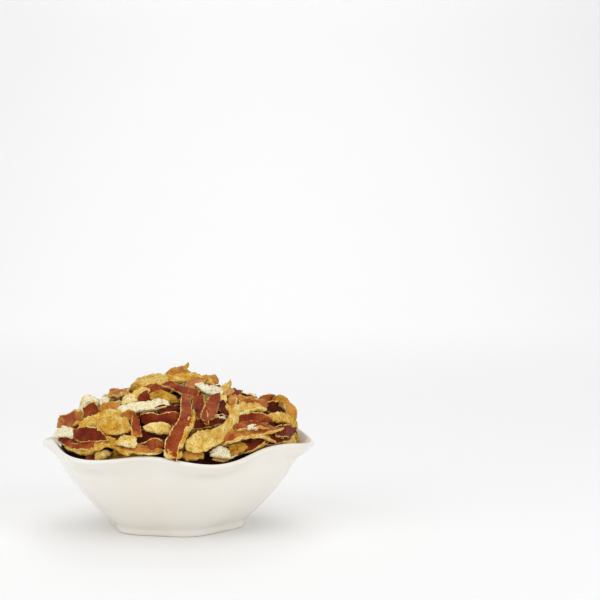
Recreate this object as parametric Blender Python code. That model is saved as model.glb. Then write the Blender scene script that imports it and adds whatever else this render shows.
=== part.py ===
"""A small white six-lobed bowl heaped with cut strips of dried orange peel.

Metres, +Z up, with the bowl's foot standing on Z = 0 at the origin. -Y is the front.
"""

import math

import bmesh
import bpy
import numpy as np

MM = 0.001

# The bowl: six petals whose tips flare out and droop, with pinched-up valleys between them.
LOBES = 6
LOBE_TURN = math.radians(-12)
AROUND = 54
OVAL = 2.3 * MM
RIM_TILT = 0.8 * MM
RIM_SADDLE = 1.8 * MM
PETAL_LEAN = 1.0 * MM
BOWL_HEIGHT = 36 * MM
# Outer wall from the foot up: radius and height at a petal's middle, then in a valley.
WALL = (
    (29.2 * MM, 0.0 * MM, 27.0 * MM, 0.0 * MM),
    (29.0 * MM, 2.2 * MM, 26.9 * MM, 2.2 * MM),
    (30.5 * MM, 3.9 * MM, 28.5 * MM, 3.9 * MM),
    (34.6 * MM, 7.4 * MM, 32.6 * MM, 7.4 * MM),
    (39.7 * MM, 12.9 * MM, 37.6 * MM, 12.9 * MM),
    (44.0 * MM, 18.2 * MM, 41.6 * MM, 18.2 * MM),
    (47.6 * MM, 23.6 * MM, 44.9 * MM, 23.9 * MM),
    (50.2 * MM, 28.0 * MM, 47.3 * MM, 29.2 * MM),
    (53.4 * MM, 30.2 * MM, 49.3 * MM, 32.7 * MM),
    (56.7 * MM, 33.2 * MM, 51.8 * MM, 35.9 * MM),
)
FOOT_ROWS = 2
RIM_THICKNESS = 1.8 * MM
BASE_THICKNESS = 3.0 * MM
FOOT_WIDTH = 3.2 * MM
UNDERSIDE_HEIGHT = 1.4 * MM
FLOOR_HEIGHT = 4.4 * MM

# The heap: how high the peel stands over the bowl's middle plane, and how far it spreads.
EDGE_HEIGHT = 35.0 * MM
CROWN = 22.5 * MM
PEAK = 5.5 * MM
PEAK_AT = (0.0, 0.0)
PEAK_SPREAD = 17 * MM
HALF_WIDTH = 53.0 * MM
HALF_DEPTH = 49.0 * MM
CELL = 0.6 * MM
FIELD = 62 * MM
EYE = np.array([52.1, -590.0, 119.0]) * MM
FRONT_ZERO = 1.1 * MM
REACH = 49.5 * MM
FAR_BACK = 16 * MM
FILL_BED = 9.0 * MM
PEEL_THICKNESS = 1.5 * MM
TOUCH = 0.15 * MM
SEED = 10


def lobe_share(angle):
    """1 at the middle of a petal and 0 in a valley."""
    return 0.5 + 0.5 * np.cos(LOBES * (angle - LOBE_TURN))


def outer_wall(row, angle):
    """(radius, height) of one row of the outer wall, all round."""
    petal_r, petal_z, valley_r, valley_z = WALL[row]
    share = lobe_share(angle)
    rise = (petal_z / BOWL_HEIGHT) ** 2
    radius = valley_r + (petal_r - valley_r) * share + OVAL * rise * np.cos(2 * angle)
    waves = RIM_TILT * np.cos(angle) + RIM_SADDLE * np.cos(2 * angle - math.radians(25))
    waves = waves - PETAL_LEAN * np.sin(LOBES * (angle - LOBE_TURN))
    return radius, valley_z + (petal_z - valley_z) * share + rise * waves


def inner_wall(row, angle):
    """(radius, height) of the same row on the inside, one wall thickness in."""
    low_r, low_z = outer_wall(max(row - 1, FOOT_ROWS), angle)
    high_r, high_z = outer_wall(min(row + 1, len(WALL) - 1), angle)
    run = np.hypot(high_r - low_r, high_z - low_z)
    share = row / (len(WALL) - 1)
    thickness = BASE_THICKNESS + (RIM_THICKNESS - BASE_THICKNESS) * share
    radius, height = outer_wall(row, angle)
    return radius - thickness * (high_z - low_z) / run, height + thickness * (high_r - low_r) / run


def ring(radius, height, angle):
    """The points of one level loop."""
    height = np.broadcast_to(height, radius.shape)
    return np.stack([radius * np.cos(angle), radius * np.sin(angle), height], axis=1)


def loft(name, rings):
    """A closed solid through rings of equally many points, capped at both ends."""
    bm = bmesh.new()
    loops = [[bm.verts.new(p) for p in points] for points in rings]
    count = len(loops[0])
    for lower, upper in zip(loops, loops[1:]):
        for i in range(count):
            j = (i + 1) % count
            bm.faces.new((lower[i], lower[j], upper[j], upper[i]))
    bm.faces.new(reversed(loops[0]))
    bm.faces.new(loops[-1])
    bmesh.ops.recalc_face_normals(bm, faces=bm.faces)
    mesh = bpy.data.meshes.new(name)
    bm.to_mesh(mesh)
    bm.free()
    return bpy.data.objects.new(name, mesh)


def material(name, colour, roughness):
    """A Principled material of one colour."""
    made = bpy.data.materials.new(name)
    made.use_nodes = True
    shader = made.node_tree.nodes["Principled BSDF"]
    shader.inputs["Base Color"].default_value = (*colour, 1)
    shader.inputs["Roughness"].default_value = roughness
    return made


def build_bowl():
    """The bowl in one piece: foot ring, flared wall, rounded rim and inner floor."""
    angle = np.arange(AROUND) * 2 * math.pi / AROUND
    top = len(WALL) - 1
    foot_r, _ = outer_wall(0, angle)
    rings = [
        ring(0.35 * foot_r, UNDERSIDE_HEIGHT, angle),
        ring(foot_r - FOOT_WIDTH - UNDERSIDE_HEIGHT, UNDERSIDE_HEIGHT, angle),
        ring(foot_r - FOOT_WIDTH, 0.0, angle),
        ring(foot_r, 0.0, angle),
    ]
    rings += [ring(*outer_wall(row, angle), angle) for row in range(1, top + 1)]
    outer_r, outer_z = outer_wall(top, angle)
    inner_r, inner_z = inner_wall(top, angle)
    lip = 0.35 * RIM_THICKNESS
    rings.append(ring((outer_r + inner_r) / 2 + lip / 2, (outer_z + inner_z) / 2 + lip, angle))
    rings += [ring(*inner_wall(row, angle), angle) for row in range(top, FOOT_ROWS, -1)]
    floor_r, _ = inner_wall(FOOT_ROWS, angle)
    rings += [
        ring(floor_r - BASE_THICKNESS, FLOOR_HEIGHT + 0.5 * MM, angle),
        ring(0.35 * floor_r, FLOOR_HEIGHT, angle),
    ]
    return loft("bowl", rings)


def inside_radius(angle, height):
    """How far out the bowl's inside reaches at a height, and over the rim, how far the rim does."""
    rows = [inner_wall(row, angle) for row in range(FOOT_ROWS, len(WALL))]
    radius = rows[0][0] + 0 * height
    for (low_r, low_z), (high_r, high_z) in zip(rows, rows[1:]):
        share = np.clip((height - low_z) / (high_z - low_z), 0, 1)
        radius = radius + (high_r - low_r) * share
    return radius


def heap_height(x, y):
    """The heap's own outline: a broad mound with steep ends and a small peak."""
    spread = np.abs(x / HALF_WIDTH) ** 2.8 + np.abs(y / HALF_DEPTH) ** 2.0
    mound = CROWN * np.clip(1 - spread, 0, 1) ** 0.7
    off = ((x - PEAK_AT[0]) ** 2 + (y - PEAK_AT[1]) ** 2) / PEAK_SPREAD**2
    return np.where(spread < 1, EDGE_HEIGHT + mound + PEAK * np.exp(-off), 0)


def from_front(across, up, toward):
    """World points for places in the front view: across and up on the bowl's middle plane, as seen from EYE."""
    share = 1 - toward / -EYE[1]
    x = EYE[0] + (across + FRONT_ZERO - EYE[0]) * share
    z = EYE[2] + (up - EYE[2]) * share
    return np.stack([x, -toward + 0 * share, z], axis=-1)


def rest_plane(x, y, needed, steepest):
    """The slopes and height of a rigid piece laid on a relief: clear of it all over, its middle as low as it goes."""
    best = (0.0, 0.0)
    reach = steepest
    steps = np.linspace(-1, 1, 9)
    for _ in range(5):
        slope_x, slope_y = (np.clip(b + steps * reach, -steepest, steepest) for b in best)
        lift = needed - slope_x[:, None, None] * x - slope_y[None, :, None] * y
        lift = lift.max(axis=2)
        i, j = np.unravel_index(np.argmin(lift), lift.shape)
        best = (slope_x[i], slope_y[j])
        reach /= 3
    return best[0], best[1], lift[i, j]


def cells(points):
    """The cell of the relief under each point."""
    last = int(2 * FIELD / CELL) - 1
    return tuple(np.clip(((points[..., k] + FIELD) / CELL).astype(int), 0, last) for k in (0, 1))


def cell_places():
    """The middle of every cell."""
    axis = (np.arange(int(2 * FIELD / CELL)) + 0.5) * CELL - FIELD
    return np.meshgrid(axis, axis, indexing="ij")


def bowl_relief():
    """The height of the bowl's upper side, with room to spare."""
    x, y = cell_places()
    angle, out = np.arctan2(y, x), np.hypot(x, y)
    rows = range(FOOT_ROWS, len(WALL))
    relief = np.full(x.shape, FLOOR_HEIGHT)
    for row in list(rows)[1:]:
        low_r, low_z = inner_wall(row - 1, angle)
        high_r, high_z = inner_wall(row, angle)
        share = (out - low_r) / (high_r - low_r)
        relief = np.where((share > 0) & (out < high_r + CELL), low_z + (high_z - low_z) * np.clip(share, 0, 1), relief)
    edge_r, edge_z = outer_wall(len(WALL) - 1, angle)
    inner_r, _ = inner_wall(len(WALL) - 1, angle)
    relief = np.where((out > inner_r - CELL) & (out < edge_r + CELL), edge_z + 0.5 * RIM_THICKNESS, relief)
    relief = np.where(out >= edge_r + CELL, 0.0, relief)
    return widened(relief) + 3 * TOUCH


def widened(relief):
    """Every cell raised to the highest of its neighbours."""
    for axis in (0, 1):
        relief = np.maximum(relief, np.maximum(np.roll(relief, 1, axis), np.roll(relief, -1, axis)))
    return relief


def smoothed(relief, times):
    """The relief averaged with its neighbours."""
    for _ in range(times):
        for axis in (0, 1):
            relief = (np.roll(relief, 1, axis) + relief * 2 + np.roll(relief, -1, axis)) / 4
    return relief


def met_by_eye(across, up):
    """How near the heap is, from the bowl's middle plane, where it shows at one spot of the front view."""
    toward = np.arange(58 * MM, -FAR_BACK, -0.5 * MM)
    sight = from_front(across, up, toward)
    over = sight[:, 2] - heap_height(sight[:, 0], sight[:, 1])
    under = np.nonzero(over < 0)[0]
    return toward[under[0] if len(under) else int(np.argmin(over))]


def unit(vectors):
    """The same directions at length one."""
    return vectors / np.linalg.norm(vectors, axis=-1, keepdims=True)


def laid_frames(piece, count):
    """Centre line, side and face directions of a strip laid where the eye meets the heap."""
    path, lean, lift, _, depth = piece
    seen = np.array(path) * MM
    nearness = np.array(depth) * MM
    if not depth:
        nearness = np.array([met_by_eye(u, w) for u, w in seen]) + lift * MM
    along = np.r_[0, np.cumsum(np.linalg.norm(np.diff(seen, axis=0), axis=1))]
    along /= along[-1]
    wanted = np.linspace(0, 1, count)
    degree = min(len(seen) - 1, 5)
    across, up = (np.polyval(np.polyfit(along, seen[:, k], degree), wanted) for k in (0, 1))
    toward = np.polyval(np.polyfit(along, nearness, min(degree, 3 if depth else 1)), wanted)
    centre = from_front(across, up, toward)
    if not depth:
        inside = np.sqrt(np.clip(REACH**2 - centre[:, 0] ** 2, 0, None))
        centre = from_front(across, up, np.minimum(toward, inside))
    ahead = unit(np.gradient(centre, axis=0))
    upright = unit(np.cross(unit(EYE - centre), ahead))
    facing = np.cross(ahead, upright)
    tip = np.radians(np.linspace(lean[0], lean[1], count))[:, None]
    side = upright * np.cos(tip) - facing * np.sin(tip)
    return centre, side, np.cross(ahead, side)


def free_frames(shape, count):
    """The same for a loose strip about the origin, before it is dropped."""
    share = np.linspace(-0.5, 0.5, count)
    yaw = shape["bend"] * share
    pitch = -shape["bow"] * share + shape["wave"] * np.sin(2 * math.pi * share)
    ahead = np.stack([np.cos(pitch) * np.cos(yaw), np.cos(pitch) * np.sin(yaw), np.sin(pitch)], axis=1)
    steps = (ahead[1:] + ahead[:-1]) / 2 * shape["length"] / (count - 1)
    centre = np.r_[np.zeros((1, 3)), np.cumsum(steps, axis=0)]
    centre -= centre.mean(axis=0)
    level = np.stack([-np.sin(yaw), np.cos(yaw), 0 * yaw], axis=1)
    face = np.cross(ahead, level)
    roll = (shape["roll"] + shape["twist"] * share)[:, None]
    return centre, level * np.cos(roll) + face * np.sin(roll), face * np.cos(roll) - level * np.sin(roll)


def turned(frames, heading, slope_x, slope_y):
    """Frames headed another way and tilted to a slope."""
    cos, sin = math.cos(heading), math.sin(heading)
    spin = np.array([[cos, -sin, 0], [sin, cos, 0], [0, 0, 1]])
    up = unit(np.array([-slope_x, -slope_y, 1.0]))
    axis = np.cross((0, 0, 1), up)
    cross = np.array([[0, -axis[2], axis[1]], [axis[2], 0, -axis[0]], [-axis[1], axis[0], 0]])
    tilt = np.eye(3) + cross + cross @ cross / (1 + up[2])
    return tuple(part @ spin.T @ tilt.T for part in frames)


def section(frames, piece, places):
    """Points of the strip: `places` are (across -1..1, through -1..1) pairs on every station."""
    centre, side, face = frames
    share = np.linspace(-1, 1, len(centre))
    ends = 1 - piece["taper"] * np.abs(share) ** 4
    across = np.array([p[0] for p in places])
    through = np.array([p[1] for p in places])
    start, end = piece["widths"]
    half = ((start * (1 - share) + end * (1 + share)) / 4 * ends)[:, None, None]
    sag = piece["cup"] * (start + end) / 2 * (across**2 - 0.4)[None, :, None]
    body = side[:, None, :] * across[None, :, None] * half
    skin = face[:, None, :] * (through[None, :, None] * piece["thickness"] / 2 + sag)
    return centre[:, None, :] + body + skin


def sampled(frames, piece, through):
    """A close net of points on the strip's upper (1) or under (-1) side."""
    across = np.linspace(-1, 1, max(3, int(sum(piece["widths"]) / 2 / (0.48 * MM))))
    return section(frames, piece, [(a, through) for a in across]).reshape(-1, 3)


def finished(piece):
    """A laid strip's sizes in metres."""
    return {
        "widths": (piece[3][0] * MM, piece[3][1] * MM),
        "thickness": PEEL_THICKNESS,
        "cup": 0.06,
        "taper": 0.2,
    }


def lay_fronts(relief):
    """The strips that show in front, laid in the order given and kept clear of the bowl."""
    laid = []
    for piece in FRONT_STRIPS:
        sizes = finished(piece)
        frames = laid_frames(piece, 41)
        points = np.r_[sampled(frames, sizes, 1), sampled(frames, sizes, -1)]
        short = (relief[cells(points)] - points[:, 2]).max()
        rise = max(short, 0.0)
        laid.append({**sizes, "frames": (frames[0] + (0, 0, rise), frames[1], frames[2])})
    return laid


def drop_fill(relief, laid, count):
    """Loose strips dropped one by one into the lowest places, under the laid ones and below the outline."""
    rng = np.random.default_rng(SEED)
    x, y = cell_places()
    outline = heap_height(x, y)
    behind = np.clip((y + 12 * MM) / (20 * MM), 0, 1)
    roof = np.where(outline > 0, outline + (-2.0 + 3.4 * behind) * MM, EDGE_HEIGHT + 3.0 * MM)
    for strip in laid:
        under = np.minimum(sampled(strip["frames"], strip, -1)[:, 2], sampled(strip["frames"], strip, 1)[:, 2])
        np.minimum.at(roof, cells(sampled(strip["frames"], strip, -1)), under - TOUCH)
    bed = np.where(outline > 0, outline - FILL_BED, 0)
    relief = np.maximum(relief, bed)
    reach = (outline > 0) | (relief > 20 * MM) & (np.hypot(x, y) < 49 * MM)
    dropped = []
    for _ in range(count):
        room = np.clip(roof - relief, 0, None) * reach
        chance = (room**2).ravel() / (room**2).sum()
        best = None
        for spot in rng.choice(chance.size, 14, p=chance):
            length, width = rng.uniform(13, 32) * MM, rng.uniform(4.2, 7.4) * MM
            shape = {
                "length": length,
                "widths": (width, width * rng.uniform(0.7, 1.1)),
                "thickness": rng.uniform(1.2, 1.6) * MM,
                "bend": rng.normal(0, 0.45),
                "bow": rng.normal(0.1, 0.75),
                "wave": rng.normal(0, 0.2),
                "twist": rng.normal(0, 0.5),
                "roll": rng.normal(0, 0.3),
                "cup": rng.uniform(-0.08, 0.12),
                "taper": rng.uniform(0.1, 0.5),
            }
            heading = rng.uniform(0, math.pi)
            start = np.array([x.ravel()[spot], y.ravel()[spot], 0])
            found = settle(shape, heading, start, relief, roof)
            if found and (best is None or found["score"] > best["score"]):
                best = found
        if best is None:
            continue
        top = np.r_[sampled(best["frames"], best, 1), sampled(best["frames"], best, -1)]
        np.maximum.at(relief, cells(top), top[:, 2] + TOUCH)
        dropped.append(best)
    return dropped, relief


def settle(shape, heading, start, relief, roof):
    """A strip lowered onto the relief at one place, or None where it has no room."""
    loose = free_frames(shape, 21)
    frames = turned(loose, heading, 0, 0)
    under = sampled(frames, shape, -1)
    needed = relief[cells(under + start)] - under[:, 2]
    slope_x, slope_y, _ = rest_plane(under[::3, 0], under[::3, 1], needed[::3], 1.3)
    frames = turned(loose, heading, slope_x, slope_y)
    both = np.r_[sampled(frames, shape, -1), sampled(frames, shape, 1)]
    where = cells(both + start)
    gap = relief[where] - both[:, 2]
    lift = gap.max()
    if (both[:, 2] + lift - roof[where]).max() > 0:
        return None
    below = slice(0, len(both) // 2)
    hollow = (lift - gap[below]).mean()
    score = (roof[where] - relief[where])[below].mean() - 0.9 * hollow
    place = start + (0, 0, lift)
    return {**shape, "frames": (frames[0] + place, frames[1], frames[2]), "score": score}


# Strips that show in front: the path of each in the front view, how far it leans back at either
# end (0 faces the eye, 90 lies flat), how far it stands off the heap, its width at either end,
# and its own nearness to the eye where it doesn't follow the heap.
FRONT_STRIPS = (
    # white end stub, left
    (((-52.5, 36.8), (-48.5, 37.2), (-44.5, 36.5)), (35, 25), 2, (5.2, 4.6), ()),
    # cupped piece, far left
    (((-51.5, 42.3), (-47, 43.8), (-41, 45.3)), (20, -5), 1, (4.5, 7.5), ()),
    # red inside of the cream arch
    (((-40, 46.5), (-37.5, 48.5), (-34.8, 49)), (5, 5), 3, (5.5, 5.0), ()),
    # cream arch
    (((-41.2, 45.5), (-40.8, 50), (-38.6, 52.6), (-36.2, 52.2), (-35.2, 48.6)), (62, 55), 5, (4.6, 4.0), ()),
    # pale stub
    (((-32, 49.5), (-31.4, 52), (-30.6, 54.8)), (15, 15), -2, (3.8, 3.2), ()),
    # brown arch, left top
    (((-30, 55), (-26.5, 55.6), (-22.5, 54.8), (-20.3, 52.3)), (62, 55), 2, (4.6, 4.2), ()),
    # orange oval
    (((-33.8, 49), (-29, 49.6), (-24.3, 48.6)), (5, 15), 3, (4.6, 4.2), ()),
    # long cream strip
    (((-26, 47.4), (-19.5, 49.4), (-12, 50), (-4.3, 50.9)), (55, 42), 4, (6.2, 4.4), ()),
    # pith flake, upper left
    (((-42.5, 41.3), (-36.5, 43.6), (-30, 45.6), (-24, 46)), (35, 55), 4, (5.0, 6.5), ()),
    # broad pitted flake, left
    (((-35, 41.5), (-28.5, 41.8), (-21.5, 39.8)), (25, 5), 4, (6.0, 8.0), ()),
    # orange corner
    (((-25, 44.8), (-22, 46), (-19.4, 45.4)), (5, 10), 4, (3.6, 4.6), ()),
    # pink upright
    (((-18, 37), (-18.9, 41), (-18.4, 45.6)), (-35, -15), 4, (4.4, 3.6), ()),
    # dark rind, left
    (((-44.6, 38.5), (-38, 38), (-31.6, 37.8)), (5, -10), 5, (5.6, 6.0), ()),
    # red rind, left
    (((-47.3, 33.6), (-40, 33.8), (-33, 34.2)), (30, 15), 3, (4.2, 5.0), ()),
    # speckled flake, low left
    (((-47.8, 31.6), (-42, 30.4), (-36.2, 29.8)), (25, 40), 2, (3.6, 4.2), ()),
    # golden arch
    (((-38, 29.8), (-35.5, 32.8), (-31, 33.6), (-26, 32), (-20.8, 29)), (62, 55), 6, (5.4, 4.8), ()),
    # bits under the golden arch
    (((-35.6, 28.3), (-32.6, 29.3), (-29.4, 30.2)), (10, 30), 2, (3.2, 3.6), ()),
    # pale flake, left
    (((-27, 34.4), (-22.5, 35), (-18.2, 33.6)), (15, 40), 4, (3.6, 5.0), ()),
    # pink strip along the rim
    (((-23.4, 30.9), (-16, 30.6), (-8, 29.4)), (40, 30), 1, (3.6, 4.0), ()),
    # crown piece
    (((-5.6, 63.2), (-1, 64.2), (3.8, 64.8)), (25, 5), 2, (4.4, 5.2), ()),
    # spike on the crown
    (((1.8, 65.2), (3, 66.8), (3.8, 68.4)), (10, 10), 2, (2.4, 1.0), ()),
    # yellow layer under the crown
    (((-7.5, 61.6), (0, 61.8), (8, 61.4), (14.5, 59.6)), (55, 50), 2, (5.0, 5.6), ()),
    # orange end of that layer
    (((9.5, 61.6), (13, 61.4), (16.4, 60.2)), (25, 30), 1, (3.6, 3.8), ()),
    # broad tan piece
    (((-18.6, 56.6), (-14.5, 59.8), (-10, 60.6), (-5.5, 59.8)), (25, 15), 2, (6.5, 6.0), ()),
    # red under the tan piece
    (((-15.5, 56.6), (-10, 57.2), (-4, 57.2)), (20, 35), 1, (4.0, 4.0), ()),
    # slanting tan strip
    (((-24, 50.8), (-19, 53.4), (-13.4, 57.2)), (50, 35), 4, (5.0, 4.6), ()),
    # brown side of the slanting strip
    (((-17.5, 52.2), (-14.8, 54), (-12.2, 55.6)), (10, 10), 2, (4.0, 4.4), ()),
    # olive flake
    (((-12.2, 53.8), (-7, 53.8), (-0.5, 51.8)), (10, 40), 3, (4.6, 4.0), ()),
    # long red-brown strip
    (((-7, 59.2), (-1, 57.8), (3.5, 56.2), (8, 55.2)), (45, 20), 5, (3.8, 4.6), ()),
    # brown strip by the crown
    (((3, 58.2), (7, 60), (11.2, 61.6)), (40, 50), 4, (3.8, 4.0), ()),
    # white flake
    (((7.4, 58.4), (12.5, 56.9), (17.8, 55.4)), (45, 30), 4, (4.0, 4.6), ()),
    # dark red strip, middle
    (((-9, 48.2), (-4, 48.5), (0.5, 48.8)), (10, 20), 2, (4.6, 4.2), ()),
    # dark red strip with a pale top edge
    (((-16.2, 44.8), (-9, 44.2), (-1, 45)), (-5, 10), 4, (5.6, 6.2), ()),
    # pale pitted flake
    (((-14.6, 40.2), (-9.5, 40.9), (-4, 39.2)), (20, 50), 4, (4.0, 4.6), ()),
    # dark brown cup
    (((-18.4, 36.6), (-12.5, 36.8), (-6, 36)), (35, 60), 0, (6.5, 6.0), ()),
    # orange piece in the cup
    (((-13.6, 32.6), (-10, 33.6), (-6.6, 33)), (20, -10), 2, (5.0, 4.6), ()),
    # hanging strip
    (
        ((3.4, 54.6), (2.9, 49.5), (2.3, 44.5), (0.5, 40.3), (-2.2, 36.8), (-3.1, 33), (-3.3, 27.6)),
        (8, -8),
        0,
        (5.0, 5.0),
        (26, 35, 41.5, 46.2, 49.4, 51.5, 52.9),
    ),
    # yellow tip of the hanging strip
    (((-6.6, 28.8), (-3.2, 27.6), (0.4, 28.6)), (20, 20), 0, (2.8, 3.2), (52, 52.6, 51.6)),
    # yellow back of the hanging strip
    (((5.6, 47.5), (4.4, 42), (1.6, 37), (0.2, 32)), (-25, -35), 0, (2.3, 2.9), (38, 44, 48.5, 51)),
    # notched flake, left half
    (((7.6, 54.4), (8.6, 49.4), (11, 42.8)), (5, 5), 3, (5.4, 4.6), ()),
    # notched flake, right half
    (((15.4, 54.6), (13.8, 49.8), (10.9, 44.4)), (-5, 0), 4, (5.4, 6.0), ()),
    # dark strip behind the crescent
    (((4.8, 41.8), (12, 42.8), (19.6, 44.8)), (35, 20), 2, (4.4, 4.8), ()),
    # white bit, middle
    (((14.6, 45.2), (17, 45.6), (19.6, 44.6)), (20, 40), 3, (2.6, 2.4), ()),
    # maroon piece
    (((17, 51.2), (18.6, 49), (21, 46.4)), (20, 0), 2, (4.4, 4.0), ()),
    # pith crescent
    (
        ((3.0, 34.2), (8.6, 34.6), (14.9, 37), (20.4, 40.8), (22.9, 45.5), (21.6, 49.4)),
        (5, -35),
        8,
        (8.6, 4.2),
        (),
    ),
    # tan block by the rim
    (((0.6, 28.4), (5, 29), (10, 29.2)), (25, 35), 2, (3.8, 4.4), ()),
    # broken white flake
    (((13, 28.6), (18, 29.2), (24, 28)), (40, 30), 2, (4.6, 4.0), ()),
    # orange middle of the broken flake
    (((14.2, 28), (17, 28.2), (20, 28)), (10, 10), 5, (3.0, 3.2), ()),
    # yellow curl, upright
    (((17.8, 55.5), (19.6, 57.6), (21.2, 60.4)), (10, 40), 2, (4.0, 2.6), ()),
    # orange bit by the curl
    (((18.6, 54.6), (20.4, 55.6), (22.4, 56.8)), (20, 20), 3, (2.4, 2.6), ()),
    # yellow post
    (((18.4, 51.6), (18.6, 53.4), (18.4, 55.4)), (-20, -20), 3, (2.6, 2.8), ()),
    # orange upright
    (((22.8, 48.4), (22.3, 51.4), (22.6, 54.4)), (10, 20), 3, (3.6, 4.0), ()),
    # yellow hook
    (((23.6, 49.6), (25, 46.8), (29.4, 47.8)), (35, 50), 5, (2.8, 3.0), ()),
    # orange layer, right
    (((24.2, 53.2), (28, 52.4), (32, 52)), (30, 45), 2, (3.8, 3.6), ()),
    # pink layer, right
    (((25.6, 51), (31, 50.9), (37, 50.6)), (40, 25), 3, (4.0, 4.4), ()),
    # pink peak
    (((33.4, 50.6), (36, 52.6), (39.4, 52.2)), (5, 20), 2, (4.2, 4.6), ()),
    # tan leaf, far right
    (((39.5, 51), (42, 52.2), (45.4, 49)), (15, 30), 2, (4.6, 5.2), ()),
    # dark inside of the leaf
    (((36.6, 49.4), (41, 49.2), (45, 47.4)), (10, 15), -1, (5.2, 5.6), ()),
    # far right strip
    (((43.2, 53.2), (46, 50), (47.2, 46.6), (47, 43.4)), (45, 20), 2, (4.4, 4.6), ()),
    # yellow layer, right
    (((24.2, 48.6), (30, 49.4), (35.6, 48.8)), (58, 50), 4, (5.0, 4.6), ()),
    # red-brown strip, right
    (((24.6, 43.8), (31, 44.6), (37.4, 43.4)), (10, -5), 4, (5.2, 5.8), ()),
    # curled tan flake, right
    (((38, 44.6), (43, 45), (49.2, 42.4)), (50, 20), 3, (4.6, 5.0), ()),
    # thin red strip, right
    (((23.6, 41), (30, 41.6), (36.4, 41.6)), (55, 40), 5, (4.0, 4.4), ()),
    # white bit, right
    (((28.8, 40.8), (31, 41), (33, 40.6)), (50, 50), 7, (2.2, 2.0), ()),
    # long pink strip, right
    (((20.4, 36), (26, 38), (33.4, 39.4), (42, 41)), (30, 55), 6, (4.4, 5.2), ()),
    # dark red end, right
    (((40.4, 38.6), (44.6, 39.4), (49, 39.2)), (10, -5), 5, (4.8, 5.6), ()),
    # pith under the red end
    (((42.8, 35), (46.6, 35.6), (50.4, 37.4)), (20, -5), 4, (3.8, 5.4), ()),
    # brown arch, right
    (((17.4, 32), (21.6, 34.8), (28.8, 36.4), (34.6, 35.6), (39.4, 33)), (40, 58), 8, (4.8, 5.4), ()),
    # shaded yellow under the arch
    (((21, 30), (24.4, 32.2), (28, 32.6)), (20, 20), 1, (4.4, 4.0), ()),
    # dark red strip under the arch
    (((27.2, 29.6), (31, 31.4), (35.6, 33.8)), (20, 35), 2, (3.4, 3.8), ()),
)

FILL_STRIPS = 420
HEAP_SHOWN = 70
CORE_AROUND = 40
CORE_ROWS = 9
CORE_SINK = 1.9 * MM


def build_core(relief, seen):
    """The hidden bed: it follows the bowl below and the smoothed heap above."""
    angle = np.arange(CORE_AROUND) * 2 * math.pi / CORE_AROUND
    top = smoothed(seen, 6) - CORE_SINK
    rings = [ring(0.3 * inside_radius(angle, 5 * MM), FLOOR_HEIGHT + 0.6 * MM, angle)]
    for height in (6 * MM, 12 * MM, 20 * MM, 28 * MM, 33 * MM):
        rings.append(ring(inside_radius(angle, height) - 1.3 * MM, height, angle))
    edge = inside_radius(angle, 33 * MM) - 3 * MM
    for row in range(CORE_ROWS):
        radius = edge * (1 - row / CORE_ROWS)
        points = ring(radius, 0.0, angle)
        points[:, 2] = np.maximum(top[cells(points)], 33.5 * MM)
        rings.append(points)
    return loft("peel_heap", rings)


def build_strip(name, strip, stations):
    """One faceted strip, its rind a little narrower than its pith."""
    pick = np.linspace(0, len(strip["frames"][0]) - 1, stations).round().astype(int)
    frames = tuple(part[pick] for part in strip["frames"])
    corners = ((-1, -1), (1, -1), (0.85, 1), (-0.85, 1))
    return loft(name, list(section(frames, strip, corners)))


def union(base, pieces):
    """The base with every piece fused on; anything that came away from it is dropped."""
    group = bpy.data.collections.new("strips")
    bpy.context.scene.collection.children.link(group)
    bpy.context.scene.collection.objects.link(base)
    for piece in pieces:
        group.objects.link(piece)
        piece.hide_render = True
        piece.display_type = "WIRE"
    joined = base.modifiers.new("fused", "BOOLEAN")
    joined.operation = "UNION"
    joined.operand_type = "COLLECTION"
    joined.collection = group
    joined.solver = "MANIFOLD"
    bpy.context.view_layer.update()
    graph = bpy.context.evaluated_depsgraph_get()
    fused = bpy.data.meshes.new_from_object(base.evaluated_get(graph))
    base.modifiers.clear()
    base.data = fused
    for piece in pieces:
        bpy.data.objects.remove(piece)
    bpy.data.collections.remove(group)
    keep_largest(base.data)


def keep_largest(mesh):
    """Only the biggest connected body stays."""
    bm = bmesh.new()
    bm.from_mesh(mesh)
    bmesh.ops.triangulate(bm, faces=bm.faces)
    left = set(bm.verts)
    bodies = []
    while left:
        body, edge = set(), [left.pop()]
        while edge:
            vertex = edge.pop()
            body.add(vertex)
            for link in vertex.link_edges:
                other = link.other_vert(vertex)
                if other in left:
                    left.remove(other)
                    edge.append(other)
        bodies.append(body)
    bodies.sort(key=len)
    bmesh.ops.delete(bm, geom=[v for body in bodies[:-1] for v in body], context="VERTS")
    bm.to_mesh(mesh)
    bm.free()


def build_heap():
    """The heap of peel: the core with every strip that shows fused on."""
    relief = bowl_relief()
    laid = lay_fronts(relief)
    dropped, seen = drop_fill(relief, laid, FILL_STRIPS)
    owner = {}
    for index, strip in enumerate(dropped):
        points = sampled(strip["frames"], strip, 1)
        for i, j, z in zip(*cells(points), points[:, 2]):
            if z > owner.get((i, j), (0.0, -1))[0]:
                owner[(i, j)] = (z, index)
    tally = np.bincount([index for _, index in owner.values()], minlength=len(dropped))
    shown = np.argsort(-tally, kind="stable")[:HEAP_SHOWN]
    for strip in laid:
        points = np.r_[sampled(strip["frames"], strip, 1), sampled(strip["frames"], strip, -1)]
        np.maximum.at(seen, cells(points), points[:, 2])
    print("dropped", len(dropped), "laid", len(laid))
    core = build_core(relief, seen)
    pieces = [build_strip("laid", strip, 6) for strip in laid]
    pieces += [build_strip("dropped", dropped[i], 5) for i in sorted(shown)]
    union(core, pieces)
    return core


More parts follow.
